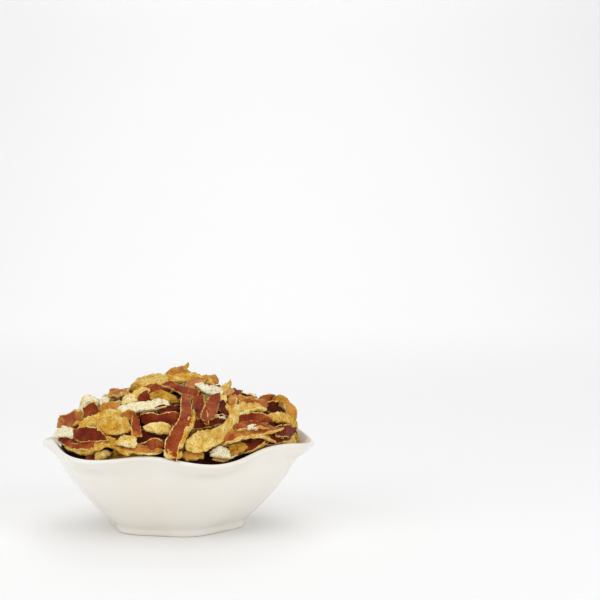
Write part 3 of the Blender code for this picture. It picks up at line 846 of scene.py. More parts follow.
FRONT_STRIPS = (
    pith(
        "white end stub, left", ((-52.5, 36.8), (-48.5, 37.2), (-44.5, 36.5)),
        (35, 25), 2, (5.2, 4.6), 0.95,
    ),
    rind(
        "cupped piece, far left", ((-51.5, 42.3), (-47, 43.8), (-41, 45.3)),
        (20, -5), 1, (4.5, 7.5), 0.7, 0.4,
    ),
    rind(
        "red inside of the cream arch", ((-40, 46.5), (-37.5, 48.5), (-34.8, 49)),
        (5, 5), 3, (5.5, 5.0), 0.6,
    ),
    pith(
        "cream arch", ((-41.2, 45.5), (-40.8, 50), (-38.6, 52.6), (-36.2, 52.2), (-35.2, 48.6)),
        (62, 55), 5, (4.6, 4.0), 0.85,
    ),
    pith("pale stub", ((-32, 49.5), (-31.4, 52), (-30.6, 54.8)), (15, 15), -2, (3.8, 3.2), 0.95),
    rind(
        "brown arch, left top", ((-30, 55), (-26.5, 55.6), (-22.5, 54.8), (-20.3, 52.3)),
        (62, 55), 2, (4.6, 4.2), 0.8,
    ),
    rind("orange oval", ((-33.8, 49), (-29, 49.6), (-24.3, 48.6)), (5, 15), 3, (4.6, 4.2), 0.9),
    pith(
        "long cream strip", ((-26, 47.4), (-19.5, 49.4), (-12, 50), (-4.3, 50.9)),
        (55, 42), 4, (6.2, 4.4), 0.9,
    ),
    pith(
        "pith flake, upper left", ((-42.5, 41.3), (-36.5, 43.6), (-30, 45.6), (-24, 46)),
        (35, 55), 4, (5.0, 6.5), 0.45,
    ),
    pith(
        "broad pitted flake, left", ((-35, 41.5), (-28.5, 41.8), (-21.5, 39.8)),
        (25, 5), 4, (6.0, 8.0), 0.4,
    ),
    rind("orange corner", ((-25, 44.8), (-22, 46), (-19.4, 45.4)), (5, 10), 4, (3.6, 4.6), 0.85),
    rind("pink upright", ((-18, 37), (-18.9, 41), (-18.4, 45.6)), (-35, -15), 4, (4.4, 3.6), 0.6),
    rind("dark rind, left", ((-44.6, 38.5), (-38, 38), (-31.6, 37.8)), (5, -10), 5, (5.6, 6.0), 0.3),
    rind("red rind, left", ((-47.3, 33.6), (-40, 33.8), (-33, 34.2)), (30, 15), 3, (4.2, 5.0), 0.6),
    pith(
        "speckled flake, low left", ((-47.8, 31.6), (-42, 30.4), (-36.2, 29.8)),
        (25, 40), 2, (3.6, 4.2), 0.45,
    ),
    pith(
        "golden arch", ((-38, 29.8), (-35.5, 32.8), (-31, 33.6), (-26, 32), (-20.8, 29)),
        (62, 55), 6, (5.4, 4.8), 0.4,
    ),
    pith(
        "bits under the golden arch", ((-35.6, 28.3), (-32.6, 29.3), (-29.4, 30.2)),
        (10, 30), 2, (3.2, 3.6), 0.5,
    ),
    pith("pale flake, left", ((-27, 34.4), (-22.5, 35), (-18.2, 33.6)), (15, 40), 4, (3.6, 5.0), 0.7),
    rind(
        "pink strip along the rim", ((-23.4, 30.9), (-16, 30.6), (-8, 29.4)),
        (40, 30), 1, (3.6, 4.0), 0.8,
    ),
    rind("crown piece", ((-5.6, 63.2), (-1, 64.2), (3.8, 64.8)), (25, 5), 2, (4.4, 5.2), 0.95, 0.35),
    pith("spike on the crown", ((1.8, 65.2), (3, 66.8), (3.8, 68.4)), (10, 10), 2, (2.4, 1.0), 0.4),
    pith(
        "yellow layer under the crown", ((-7.5, 61.6), (0, 61.8), (8, 61.4), (14.5, 59.6)),
        (55, 50), 2, (5.0, 5.6), 0.4,
    ),
    rind(
        "orange end of that layer", ((9.5, 61.6), (13, 61.4), (16.4, 60.2)),
        (25, 30), 1, (3.6, 3.8), 0.95,
    ),
    pith(
        "broad tan piece", ((-18.6, 56.6), (-14.5, 59.8), (-10, 60.6), (-5.5, 59.8)),
        (25, 15), 2, (6.5, 6.0), 0.5,
    ),
    rind(
        "red under the tan piece", ((-15.5, 56.6), (-10, 57.2), (-4, 57.2)),
        (20, 35), 1, (4.0, 4.0), 0.6,
    ),
    pith("slanting tan strip", ((-24, 50.8), (-19, 53.4), (-13.4, 57.2)), (50, 35), 4, (5.0, 4.6), 0.6),
    rind(
        "brown side of the slanting strip", ((-17.5, 52.2), (-14.8, 54), (-12.2, 55.6)),
        (10, 10), 2, (4.0, 4.4), 0.5,
    ),
    pith("olive flake", ((-12.2, 53.8), (-7, 53.8), (-0.5, 51.8)), (10, 40), 3, (4.6, 4.0), 0.25),
    rind(
        "long red-brown strip", ((-7, 59.2), (-1, 57.8), (3.5, 56.2), (8, 55.2)),
        (45, 20), 5, (3.8, 4.6), 0.45,
    ),
    rind("brown strip by the crown", ((3, 58.2), (7, 60), (11.2, 61.6)), (40, 50), 4, (3.8, 4.0), 0.75),
    pith("white flake", ((7.4, 58.4), (12.5, 56.9), (17.8, 55.4)), (45, 30), 4, (4.0, 4.6), 1.0),
    # partly painted shade: a real red rind strip, its tone set darker for the shade it lies in
    rind("red strip in painted shade, middle", ((-9, 48.2), (-4, 48.5), (0.5, 48.8)), (10, 20), 2, (4.6, 4.2), 0.25),
    rind(
        "dark red strip with a pale top edge", ((-16.2, 44.8), (-9, 44.2), (-1, 45)),
        (-5, 10), 4, (5.6, 6.2), 0.35,
    ),
    pith("pale pitted flake", ((-14.6, 40.2), (-9.5, 40.9), (-4, 39.2)), (20, 50), 4, (4.0, 4.6), 0.6),
    # painted shade: the cup's very dark rind tone stands in for the shadow under the pale pitted flake above
    # it
    rind("cup in painted shade under the pitted flake", ((-18.4, 36.6), (-12.5, 36.8), (-6, 36)), (35, 60), 0, (6.5, 6.0), 0.15),
    rind(
        "orange piece in the cup", ((-13.6, 32.6), (-10, 33.6), (-6.6, 33)),
        (20, -10), 2, (5.0, 4.6), 0.55,
    ),
    rind(
        "hanging strip",
        ((3.4, 54.6), (2.9, 49.5), (2.3, 44.5), (0.5, 40.3), (-2.2, 36.8), (-3.1, 33), (-3.3, 27.6)),
        (8, -8), 0, (5.0, 5.0), 0.5, toward=(26, 35, 41.5, 46.2, 49.4, 51.5, 52.9),
    ),
    pith(
        "yellow tip of the hanging strip", ((-6.6, 28.8), (-3.2, 27.6), (0.4, 28.6)),
        (20, 20), 0, (2.8, 3.2), 0.45, toward=(52, 52.6, 51.6),
    ),
    pith(
        "yellow back of the hanging strip", ((5.6, 47.5), (4.4, 42), (1.6, 37), (0.2, 32)),
        (-25, -35), 0, (2.3, 2.9), 0.45, toward=(38, 44, 48.5, 51),
    ),
    rind("notched flake, left half", ((7.6, 54.4), (8.6, 49.4), (11, 42.8)), (5, 5), 3, (5.4, 4.6), 0.5),
    rind(
        "notched flake, right half", ((15.4, 54.6), (13.8, 49.8), (10.9, 44.4)),
        (-5, 0), 4, (5.4, 6.0), 0.55,
    ),
    rind(
        "dark strip behind the crescent", ((4.8, 41.8), (12, 42.8), (19.6, 44.8)),
        (35, 20), 2, (4.4, 4.8), 0.3,
    ),
    pith("white bit, middle", ((14.6, 45.2), (17, 45.6), (19.6, 44.6)), (20, 40), 3, (2.6, 2.4), 0.85),
    rind("maroon piece", ((17, 51.2), (18.6, 49), (21, 46.4)), (20, 0), 2, (4.4, 4.0), 0.12),
    pith(
        "pith crescent", ((3.0, 34.2), (8.6, 34.6), (14.9, 37), (20.4, 40.8), (22.9, 45.5), (21.6, 49.4)),
        (5, -35), 8, (8.6, 4.2), 0.5,
    ),
    rind("tan block by the rim", ((0.6, 28.4), (5, 29), (10, 29.2)), (25, 35), 2, (3.8, 4.4), 1.0),
    pith("broken white flake", ((13, 28.6), (18, 29.2), (24, 28)), (40, 30), 2, (4.6, 4.0), 0.9),
    rind(
        "orange middle of the broken flake", ((14.2, 28), (17, 28.2), (20, 28)),
        (10, 10), 5, (3.0, 3.2), 1.0,
    ),
    pith(
        "yellow curl, upright", ((17.8, 55.5), (19.6, 57.6), (21.2, 60.4)),
        (10, 40), 2, (4.0, 2.6), 0.45,
    ),
    rind(
        "orange bit by the curl", ((18.6, 54.6), (20.4, 55.6), (22.4, 56.8)),
        (20, 20), 3, (2.4, 2.6), 0.95,
    ),
    pith("yellow post", ((18.4, 51.6), (18.6, 53.4), (18.4, 55.4)), (-20, -20), 3, (2.6, 2.8), 0.6),
    rind("orange upright", ((22.8, 48.4), (22.3, 51.4), (22.6, 54.4)), (10, 20), 3, (3.6, 4.0), 0.9),
    pith("yellow hook", ((23.6, 49.6), (25, 46.8), (29.4, 47.8)), (35, 50), 5, (2.8, 3.0), 0.75),
    rind("orange layer, right", ((24.2, 53.2), (28, 52.4), (32, 52)), (30, 45), 2, (3.8, 3.6), 0.9),
    rind("pink layer, right", ((25.6, 51), (31, 50.9), (37, 50.6)), (40, 25), 3, (4.0, 4.4), 0.7),
    rind("pink peak", ((33.4, 50.6), (36, 52.6), (39.4, 52.2)), (5, 20), 2, (4.2, 4.6), 0.65),
    pith("tan leaf, far right", ((39.5, 51), (42, 52.2), (45.4, 49)), (15, 30), 2, (4.6, 5.2), 0.3),
    rind(
        "dark inside of the leaf", ((36.6, 49.4), (41, 49.2), (45, 47.4)),
        (10, 15), -1, (5.2, 5.6), 0.1,
    ),
    rind(
        "far right strip", ((43.2, 53.2), (46, 50), (47.2, 46.6), (47, 43.4)),
        (45, 20), 2, (4.4, 4.6), 0.95,
    ),
    pith("yellow layer, right", ((24.2, 48.6), (30, 49.4), (35.6, 48.8)), (58, 50), 4, (5.0, 4.6), 0.5),
    rind(
        "red-brown strip, right", ((24.6, 43.8), (31, 44.6), (37.4, 43.4)),
        (10, -5), 4, (5.2, 5.8), 0.5,
    ),
    pith("curled tan flake, right", ((38, 44.6), (43, 45), (49.2, 42.4)), (50, 20), 3, (4.6, 5.0), 0.4),
    rind("thin red strip, right", ((23.6, 41), (30, 41.6), (36.4, 41.6)), (55, 40), 5, (4.0, 4.4), 0.55),
    pith("white bit, right", ((28.8, 40.8), (31, 41), (33, 40.6)), (50, 50), 7, (2.2, 2.0), 1.0),
    rind(
        "long pink strip, right", ((20.4, 36), (26, 38), (33.4, 39.4), (42, 41)),
        (30, 55), 6, (4.4, 5.2), 0.7,
    ),
    rind("dark red end, right", ((40.4, 38.6), (44.6, 39.4), (49, 39.2)), (10, -5), 5, (4.8, 5.6), 0.25),
    pith(
        "pith under the red end", ((42.8, 35), (46.6, 35.6), (50.4, 37.4)),
        (20, -5), 4, (3.8, 5.4), 0.45,
    ),
    rind(
        "brown arch, right", ((17.4, 32), (21.6, 34.8), (28.8, 36.4), (34.6, 35.6), (39.4, 33)),
        (40, 58), 8, (4.8, 5.4), 0.8,
    ),
    pith(
        "shaded yellow under the arch", ((21, 30), (24.4, 32.2), (28, 32.6)),
        (20, 20), 1, (4.4, 4.0), 0.2,
    ),
    rind(
        "dark red strip under the arch", ((27.2, 29.6), (31, 31.4), (35.6, 33.8)),
        (20, 35), 2, (3.4, 3.8), 0.3,
    ),
)

RIM_STRIPS = (
    rind(
        "red piece inside the left rim", ((-48.4, 30.6), (-42.5, 29.2), (-36.6, 28.2)),
        (20, 20), -4, (5.0, 5.0), 0.5,
    ),
    rind(
        "rind under the golden arch", ((-39, 28.8), (-33, 28), (-26.4, 28.2)),
        (10, 25), -5, (4.8, 4.8), 0.4,
    ),
    pith(
        "pith behind the pink strip", ((-30, 28.8), (-22, 28.6), (-14, 28.4)),
        (15, 25), -5, (4.6, 4.2), 0.3,
    ),
    rind(
        "dark red inside the right rim", ((22, 28.8), (29, 30.4), (36, 33)),
        (10, 20), -6, (5.0, 5.0), 0.25,
    ),
    rind("dark rind by the right tip", ((36, 33), (41, 34), (46, 35.2)), (10, 20), -6, (4.6, 4.6), 0.2),
    rind(
        "dark rind by the left tip", ((-50.4, 33.6), (-47, 33), (-43, 32.6)),
        (20, 10), -4, (4.2, 4.6), 0.35,
    ),
)


@dataclass
class Heap:
    """The heap of peel: strips laid as they show in front, and loose ones under and behind them."""

    form: BowlForm
    edge_height: float = 35 * MM
    crown: float = 22.5 * MM
    peak: float = 5.5 * MM
    peak_spread: float = 17 * MM
    half_width: float = 53 * MM
    half_depth: float = 49 * MM
    eye: np.ndarray = field(default_factory=lambda: np.array(EYE))
    front_zero: float = 1.1 * MM
    reach: float = 49.5 * MM
    bed: float = 9 * MM
    touch: float = 0.15 * MM
    rim_start: float = 34 * MM
    within: float = 49 * MM
    broad: float = 5.2 * MM
    loose: int = 1300
    large_turns: int = 420
    middle_turns: int = 900
    tries: int = 14
    rind_up: float = 0.66
    seed: int = 10
    relief: Relief = field(default_factory=Relief)

    def outline(self, x: np.ndarray, y: np.ndarray) -> np.ndarray:
        """Find the heap's own outline: a broad mound with steep ends and a small peak.

        Args:
            x: places along X.
            y: places along Y.

        Returns:
            The height at each place, 0 off the heap.
        """
        spread = np.abs(x / self.half_width) ** 2.8 + np.abs(y / self.half_depth) ** 2.0
        mound = self.crown * np.clip(1 - spread, 0, 1) ** 0.7
        off = (x**2 + y**2) / self.peak_spread**2
        peak = self.peak * np.exp(-off)
        return np.where(spread < 1, self.edge_height + mound + peak, 0)

    def from_front(
        self,
        across: np.ndarray | float,
        up: np.ndarray | float,
        toward: np.ndarray | float,
    ) -> np.ndarray:
        """Place points seen in the front view.

        Args:
            across: where each shows on the bowl's middle plane, along X.
            up: the same, along Z.
            toward: how far nearer than that plane each one is.

        Returns:
            The points.
        """
        share = 1 + toward / self.eye[1]
        x = self.eye[0] + (across + self.front_zero - self.eye[0]) * share
        z = self.eye[2] + (up - self.eye[2]) * share
        return np.stack([x, -toward + 0 * share, z], axis=-1)

    def met_by_eye(self, across: float, up: float) -> float:
        """Find how near the heap is where it shows at one spot of the front view.

        Args:
            across: the spot along X.
            up: the spot along Z.

        Returns:
            How far nearer than the bowl's middle plane.
        """
        toward = np.arange(58 * MM, -16 * MM, -0.5 * MM)
        sight = self.from_front(across, up, toward)
        over = sight[:, 2] - self.outline(sight[:, 0], sight[:, 1])
        under = np.nonzero(over < 0)[0]
        return toward[under[0] if len(under) else int(np.argmin(over))]

    def laid_frames(self, piece: LaidStrip, count: int) -> Frames:
        """Find a laid strip's centre line, side and face directions.

        Args:
            piece: the strip.
            count: how many stations.

        Returns:
            One row a station each.
        """
        seen = np.array(piece.path) * MM
        depth = np.array(piece.toward) * MM
        if not piece.toward:
            depth = np.array([self.met_by_eye(u, w) for u, w in seen]) + piece.lift * MM
        along = np.r_[0, np.cumsum(np.linalg.norm(np.diff(seen, axis=0), axis=1))]
        along /= along[-1]
        wanted = np.linspace(0, 1, count)
        degree = min(len(seen) - 1, 5)
        across, up = (np.polyval(np.polyfit(along, seen[:, k], degree), wanted) for k in (0, 1))
        toward = np.polyval(np.polyfit(along, depth, min(degree, 3 if piece.toward else 1)), wanted)
        centre = self.from_front(across, up, toward)
        if not piece.toward:
            inside = np.sqrt(np.clip(self.reach**2 - centre[:, 0] ** 2, 0, None))
            centre = self.from_front(across, up, np.minimum(toward, inside))
        ahead = unit(np.gradient(centre, axis=0))
        upright = unit(np.cross(unit(self.eye - centre), ahead))
        facing = np.cross(ahead, upright)
        tip = np.radians(np.linspace(piece.lean[0], piece.lean[1], count))[:, None]
        side = upright * np.cos(tip) - facing * np.sin(tip)
        return centre, side, np.cross(ahead, side)

    def bowl_relief(self) -> np.ndarray:
        """Map the bowl's upper side, with room to spare.

        Returns:
            A height for each cell.
        """
        form, grid = self.form, self.relief
        x, y = grid.places()
        angle, out = np.arctan2(y, x), np.hypot(x, y)
        heights = np.full(x.shape, form.floor)
        for row in range(form.foot_rows + 1, form.top + 1):
            low_r, low_z = form.inner(row - 1, angle)
            high_r, high_z = form.inner(row, angle)
            share = (out - low_r) / (high_r - low_r)
            wall = low_z + (high_z - low_z) * np.clip(share, 0, 1)
            heights = np.where((share > 0) & (out < high_r + grid.cell), wall, heights)
        edge_r, edge_z = form.outer(form.top, angle)
        inner_r, _ = form.inner(form.top, angle)
        on_lip = (out > inner_r - grid.cell) & (out < edge_r + grid.cell)
        heights = np.where(on_lip, edge_z + 0.5 * form.rim_thickness, heights)
        heights = np.where(out >= edge_r + grid.cell, 0.0, heights)
        return grid.widened(heights) + 3 * self.touch

    def lay_fronts(self, pieces: tuple[LaidStrip, ...], heights: np.ndarray) -> list[Strip]:
        """Lay strips that show in front, clear of the bowl.

        Args:
            pieces: the strips and where they run.
            heights: the bowl's map.

        Returns:
            The strips.
        """
        laid = []
        for piece in pieces:
            strip = Strip(
                self.laid_frames(piece, 41),
                (piece.widths[0] * MM, piece.widths[1] * MM),
                piece.thickness * MM,
                piece.cup,
                piece.taper,
                piece.face,
                piece.tone,
                piece.pale,
            )
            points = np.r_[strip.sampled(1), strip.sampled(-1)]
            short = (heights[self.relief.cells(points)] - points[:, 2]).max()
            strip.moved(np.array([0, 0, max(short, 0.0)]))
            laid.append(strip)
        return laid

    @staticmethod
    def free_frames(shape: dict[str, float], count: int) -> Frames:
        """Shape a loose strip about the origin.

        Args:
            shape: its length, its turns and its curl.
            count: how many stations.

        Returns:
            Centre line, side and face directions, one row a station each.
        """
        share = np.linspace(-0.5, 0.5, count)
        yaw = shape["bend"] * share
        pitch = -shape["bow"] * share + shape["wave"] * np.sin(2 * math.pi * share)
        ahead = np.stack([np.cos(pitch) * np.cos(yaw), np.cos(pitch) * np.sin(yaw), np.sin(pitch)], axis=1)
        steps = (ahead[1:] + ahead[:-1]) / 2 * shape["length"] / (count - 1)
        centre = np.r_[np.zeros((1, 3)), np.cumsum(steps, axis=0)]
        centre -= centre.mean(axis=0)
        level = np.stack([-np.sin(yaw), np.cos(yaw), 0 * yaw], axis=1)
        up = np.cross(ahead, level)
        roll = (shape["roll"] + shape["twist"] * share)[:, None]
        return centre, level * np.cos(roll) + up * np.sin(roll), up * np.cos(roll) - level * np.sin(roll)

    @staticmethod
    def turned(frames: Frames, heading: float, slopes: tuple[float, float]) -> Frames:
        """Head a strip another way and tilt it to a slope.

        Args:
            frames: the strip's directions.
            heading: the turn about Z.
            slopes: the rise along X and along Y.

        Returns:
            The turned directions.
        """
        cos, sin = math.cos(heading), math.sin(heading)
        spin = np.array([[cos, -sin, 0], [sin, cos, 0], [0, 0, 1]])
        up = unit(np.array([-slopes[0], -slopes[1], 1.0]))
        axis = np.cross((0, 0, 1), up)
        cross = np.array([[0, -axis[2], axis[1]], [axis[2], 0, -axis[0]], [-axis[1], axis[0], 0]])
        tilt = np.eye(3) + cross + cross @ cross / (1 + up[2])
        centre, side, face = (part @ spin.T @ tilt.T for part in frames)
        return centre, side, face

    @staticmethod
    def rest_slopes(points: np.ndarray, needed: np.ndarray, steepest: float) -> tuple[float, float]:
        """Find how a stiff strip tilts when it lies as low as it can.

        Args:
            points: where its underside is.
            needed: how far each point must rise to be clear.
            steepest: the steepest slope tried.

        Returns:
            The slopes along X and Y.
        """
        best = (0.0, 0.0)
        reach = steepest
        steps = np.linspace(-1, 1, 9)
        for _ in range(5):
            along_x, along_y = (np.clip(b + steps * reach, -steepest, steepest) for b in best)
            lift = needed - along_x[:, None, None] * points[:, 0] - along_y[None, :, None] * points[:, 1]
            i, j = np.unravel_index(np.argmin(lift.max(axis=2)), (9, 9))
            best = (along_x[i], along_y[j])
            reach /= 3
        return best

    def settle(
        self,
        shape: dict[str, float],
        spot: np.ndarray,
        heights: np.ndarray,
        roof: np.ndarray,
    ) -> tuple[float, Strip] | None:
        """Lower a loose strip onto what lies there.

        Args:
            shape: the strip's shape.
            spot: where its middle is.
            heights: the map of what lies there.
            roof: the map of what it must stay under.

        Returns:
            How well it fits and the strip, or nothing where it has no room.
        """
        grid = self.relief
        loose = self.free_frames(shape, 21)
        strip = Strip(
            self.turned(loose, shape["heading"], (0, 0)),
            (shape["width"], shape["width"] * shape["narrows"]),
            shape["thickness"],
            shape["cup"],
            shape["taper"],
            Face.RIND,
            0.5,
            0.5,
        )
        under = strip.sampled(-1)
        needed = heights[grid.cells(under + spot)] - under[:, 2]
        strip.frames = self.turned(
            loose, shape["heading"], self.rest_slopes(under[::3], needed[::3], 1.3)
        )
        both = np.r_[strip.sampled(-1), strip.sampled(1)]
        where = grid.cells(both + spot)
        gap = heights[where] - both[:, 2]
        lift = gap.max()
        if (both[:, 2] + lift - roof[where]).max() > 0:
            return None
        below = slice(0, len(both) // 2)
        hollow = (lift - gap[below]).mean()
        score = (roof[where] - heights[where])[below].mean() - 0.9 * hollow
        strip.moved(spot + (0, 0, lift))
        return score, strip

    def roofs(self, laid: list[Strip]) -> tuple[np.ndarray, np.ndarray]:
        """Map what loose strips stay under: the outline, and the undersides of the laid strips.

        Args:
            laid: the strips that show in front.

        Returns:
            The roof for large strips, and a slightly higher one for the smaller strips after them.
        """
        x, y = self.relief.places()
        out = np.hypot(x, y)
        outline = self.outline(x, y)
        behind = np.clip((y + 12 * MM) / (20 * MM), 0, 1)
        roof = np.where(outline > 0, outline + (-2.0 + 3.4 * behind) * MM, self.edge_height + 3.0 * MM)
        nearly_out = np.clip((out - 36 * MM) / (8 * MM), 0, 1) * (1 - behind)
        rise = 3.6 * MM * nearly_out + 1.6 * MM * np.clip((y - 14 * MM) / (8 * MM), 0, 1)
        late_roof = np.where(out < self.within, roof + rise, 0)
        for strip in laid:
            back = strip.sampled(-1)
            low = np.minimum(back[:, 2], strip.sampled(1)[:, 2])
            for cover in (roof, late_roof):
                np.minimum.at(cover, self.relief.cells(back), low - self.touch)
        return roof, late_roof

    @staticmethod
    def drawn_shape(rng: np.random.Generator, size: float) -> dict[str, float]:
        """Draw a loose strip's shape.

        Args:
            rng: where the draws come from.
            size: its size, 1 for a large strip.

        Returns:
            Lengths in metres, turns in radians, and shares.
        """
        return {
            "length": rng.uniform(13, 32) * MM * size,
            "width": rng.uniform(4.2, 7.4) * MM * size,
            "narrows": rng.uniform(0.7, 1.1),
            "thickness": rng.uniform(1.2, 1.6) * MM,
            "bend": rng.normal(0, 0.45),
            "bow": rng.normal(0.1, 0.75),
            "wave": rng.normal(0, 0.2),
            "twist": rng.normal(0, 0.5),
            "roll": rng.normal(0, 0.3),
            "cup": rng.uniform(-0.08, 0.12),
            "taper": rng.uniform(0.1, 0.5),
            "heading": rng.uniform(0, math.pi),
        }

    def suited(self, shape: dict[str, float], start: np.ndarray, turn: int) -> dict[str, float]:
        """Suit a smaller strip to its place: the smallest lie flatter, and near the rim they follow it.

        Args:
            shape: the drawn shape.
            start: where its middle is.
            turn: which turn this is.

        Returns:
            The shape.
        """
        if turn >= self.middle_turns:
            shape["bow"] *= 0.4
            shape["bend"] *= 0.6
        if turn >= self.large_turns and math.hypot(start[0], start[1]) > self.rim_start:
            along_rim = math.atan2(start[1], start[0]) + math.pi / 2
            shape["heading"] = along_rim + 0.8 * shape["roll"]
        return shape

    def drop_loose(self, heights: np.ndarray, laid: list[Strip]) -> tuple[list[Strip], np.ndarray]:
        """Drop loose strips one by one, each where it fits best of a few tries.

        Large strips come first. Smaller ones then go where the bed is still bare.

        Args:
            heights: the bowl's map.
            laid: the strips that show in front.

        Returns:
            The strips and the map with them in it.
        """
        rng = np.random.default_rng(self.seed)
        dress = np.random.default_rng(self.seed + 1)
        grid = self.relief
        x, y = grid.places()
        outline = self.outline(x, y)
        roof, late_roof = self.roofs(laid)
        heights = np.maximum(heights, np.where(outline > 0, outline - self.bed, 0))
        reach = (outline > 0) | (heights > 20 * MM) & (np.hypot(x, y) < self.within)
        bare = heights + 0.3 * MM
        open_to = np.ones(x.shape)
        dropped = []
        for turn in range(self.loose):
            size = 1 if turn < self.large_turns else 0.8 if turn < self.middle_turns else 0.5
            if turn == self.large_turns:
                LOG.info("dropped %d large strips", len(dropped))
                roof = late_roof
            if turn == self.middle_turns:
                open_to = np.ones(x.shape)
            room = np.clip(roof - heights, 0, None) * reach
            if turn >= self.large_turns:
                room = room * (heights < bare) * open_to
            chance = (room**2).ravel() / (room**2).sum()
            best: tuple[float, Strip] | None = None
            for spot in rng.choice(chance.size, self.tries, p=chance):
                start = np.array([x.ravel()[spot], y.ravel()[spot], 0])
                shape = self.suited(self.drawn_shape(rng, size), start, turn)
                found = self.settle(shape, start, heights, roof)
                if found is None:
                    i, j = np.unravel_index(spot, x.shape)
                    open_to[max(i - 1, 0) : i + 2, max(j - 1, 0) : j + 2] *= 0.8
                elif best is None or found[0] > best[0]:
                    best = found
            if best is None:
                continue
            strip = best[1]
            strip.face = Face.RIND if dress.random() < self.rind_up else Face.PITH
            strip.tone = dress.uniform(0.0, 0.8)
            strip.pale = dress.uniform(0.1, 0.8)
            points = np.r_[strip.sampled(1), strip.sampled(-1)]
            np.maximum.at(heights, grid.cells(points), points[:, 2] + self.touch)
            dropped.append(strip)
        return dropped, heights

    def build(self) -> list[bpy.types.Object]:
        """Build the whole heap.

        Returns:
            Its pieces.
        """
        heights = self.bowl_relief()
        laid = self.lay_fronts(FRONT_STRIPS, heights)
        dropped, seen = self.drop_loose(heights, laid)
        laid += self.lay_fronts(RIM_STRIPS, heights)
        LOG.info("laid %d strips, dropped %d", len(laid), len(dropped))
        finishes = [DriedRind().make(), DriedPith().make()]
        shop = PeelShop(self.seed + 2)
        kinds = {
            "peel_strips_front": laid,
            "peel_strips_long": [s for s in dropped if s.width > self.broad],
            "peel_strips_narrow": [s for s in dropped if s.width <= self.broad],
        }
        pieces = [shop.gather(name, strips, finishes) for name, strips in kinds.items()]
        pieces.append(self.core(seen))
        for piece in pieces:
            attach(piece, "root")
        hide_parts("peel_heap")
        return pieces

    def core(self, seen: np.ndarray) -> bpy.types.Object:
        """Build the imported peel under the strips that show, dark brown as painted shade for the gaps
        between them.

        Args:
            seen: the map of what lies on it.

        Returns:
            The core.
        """
        count, rows = 120, 40
        sunk, clear = 3.2 * MM, 1.3 * MM
        brim_front, brim_drop = 31, 5.5
        angle = np.arange(count) * 2 * math.pi / count
        x, y = self.relief.places()
        bed = self.outline(x, y) - self.bed
        behind = np.clip(y / (4 * MM), 0, 1)
        top = self.relief.smoothed(seen, 4) - sunk
        top = top + behind * (np.minimum(top, bed) - top)
        loops = [ring(0.02 * self.form.inside_radius(angle, 5 * MM), self.form.floor + 0.6 * MM, angle)]
        brim = (brim_front - brim_drop * np.clip(2.5 * np.sin(angle), 0, 1)) * MM
        for share in (0.2, 0.4, 0.65, 0.9, 1):
            height = brim * share
            loops.append(ring(self.form.inside_radius(angle, height) - clear, height, angle))
        edge = self.form.inside_radius(angle, brim) - 2 * MM
        for row in range(rows):
            points = ring(edge * (1 - row / rows), 0.0, angle)
            points[:, 2] = np.maximum(top[self.relief.cells(points)], brim + 0.5 * MM)
            loops.append(points)
        points = np.concatenate(loops)
        faces: list[tuple[int, ...]] = list(grid_faces(len(loops), count))
        faces.append(tuple(range(count))[::-1])
        faces.append(tuple(range(len(points) - count, len(points))))
        piece = mesh_piece("peel_core_painted_shade", points, faces)
        # painted shade: the core's dark brown stands in for the shadow in the gaps between the strips
        piece.data.materials.append(PaintedShadePeel().make())
        return piece


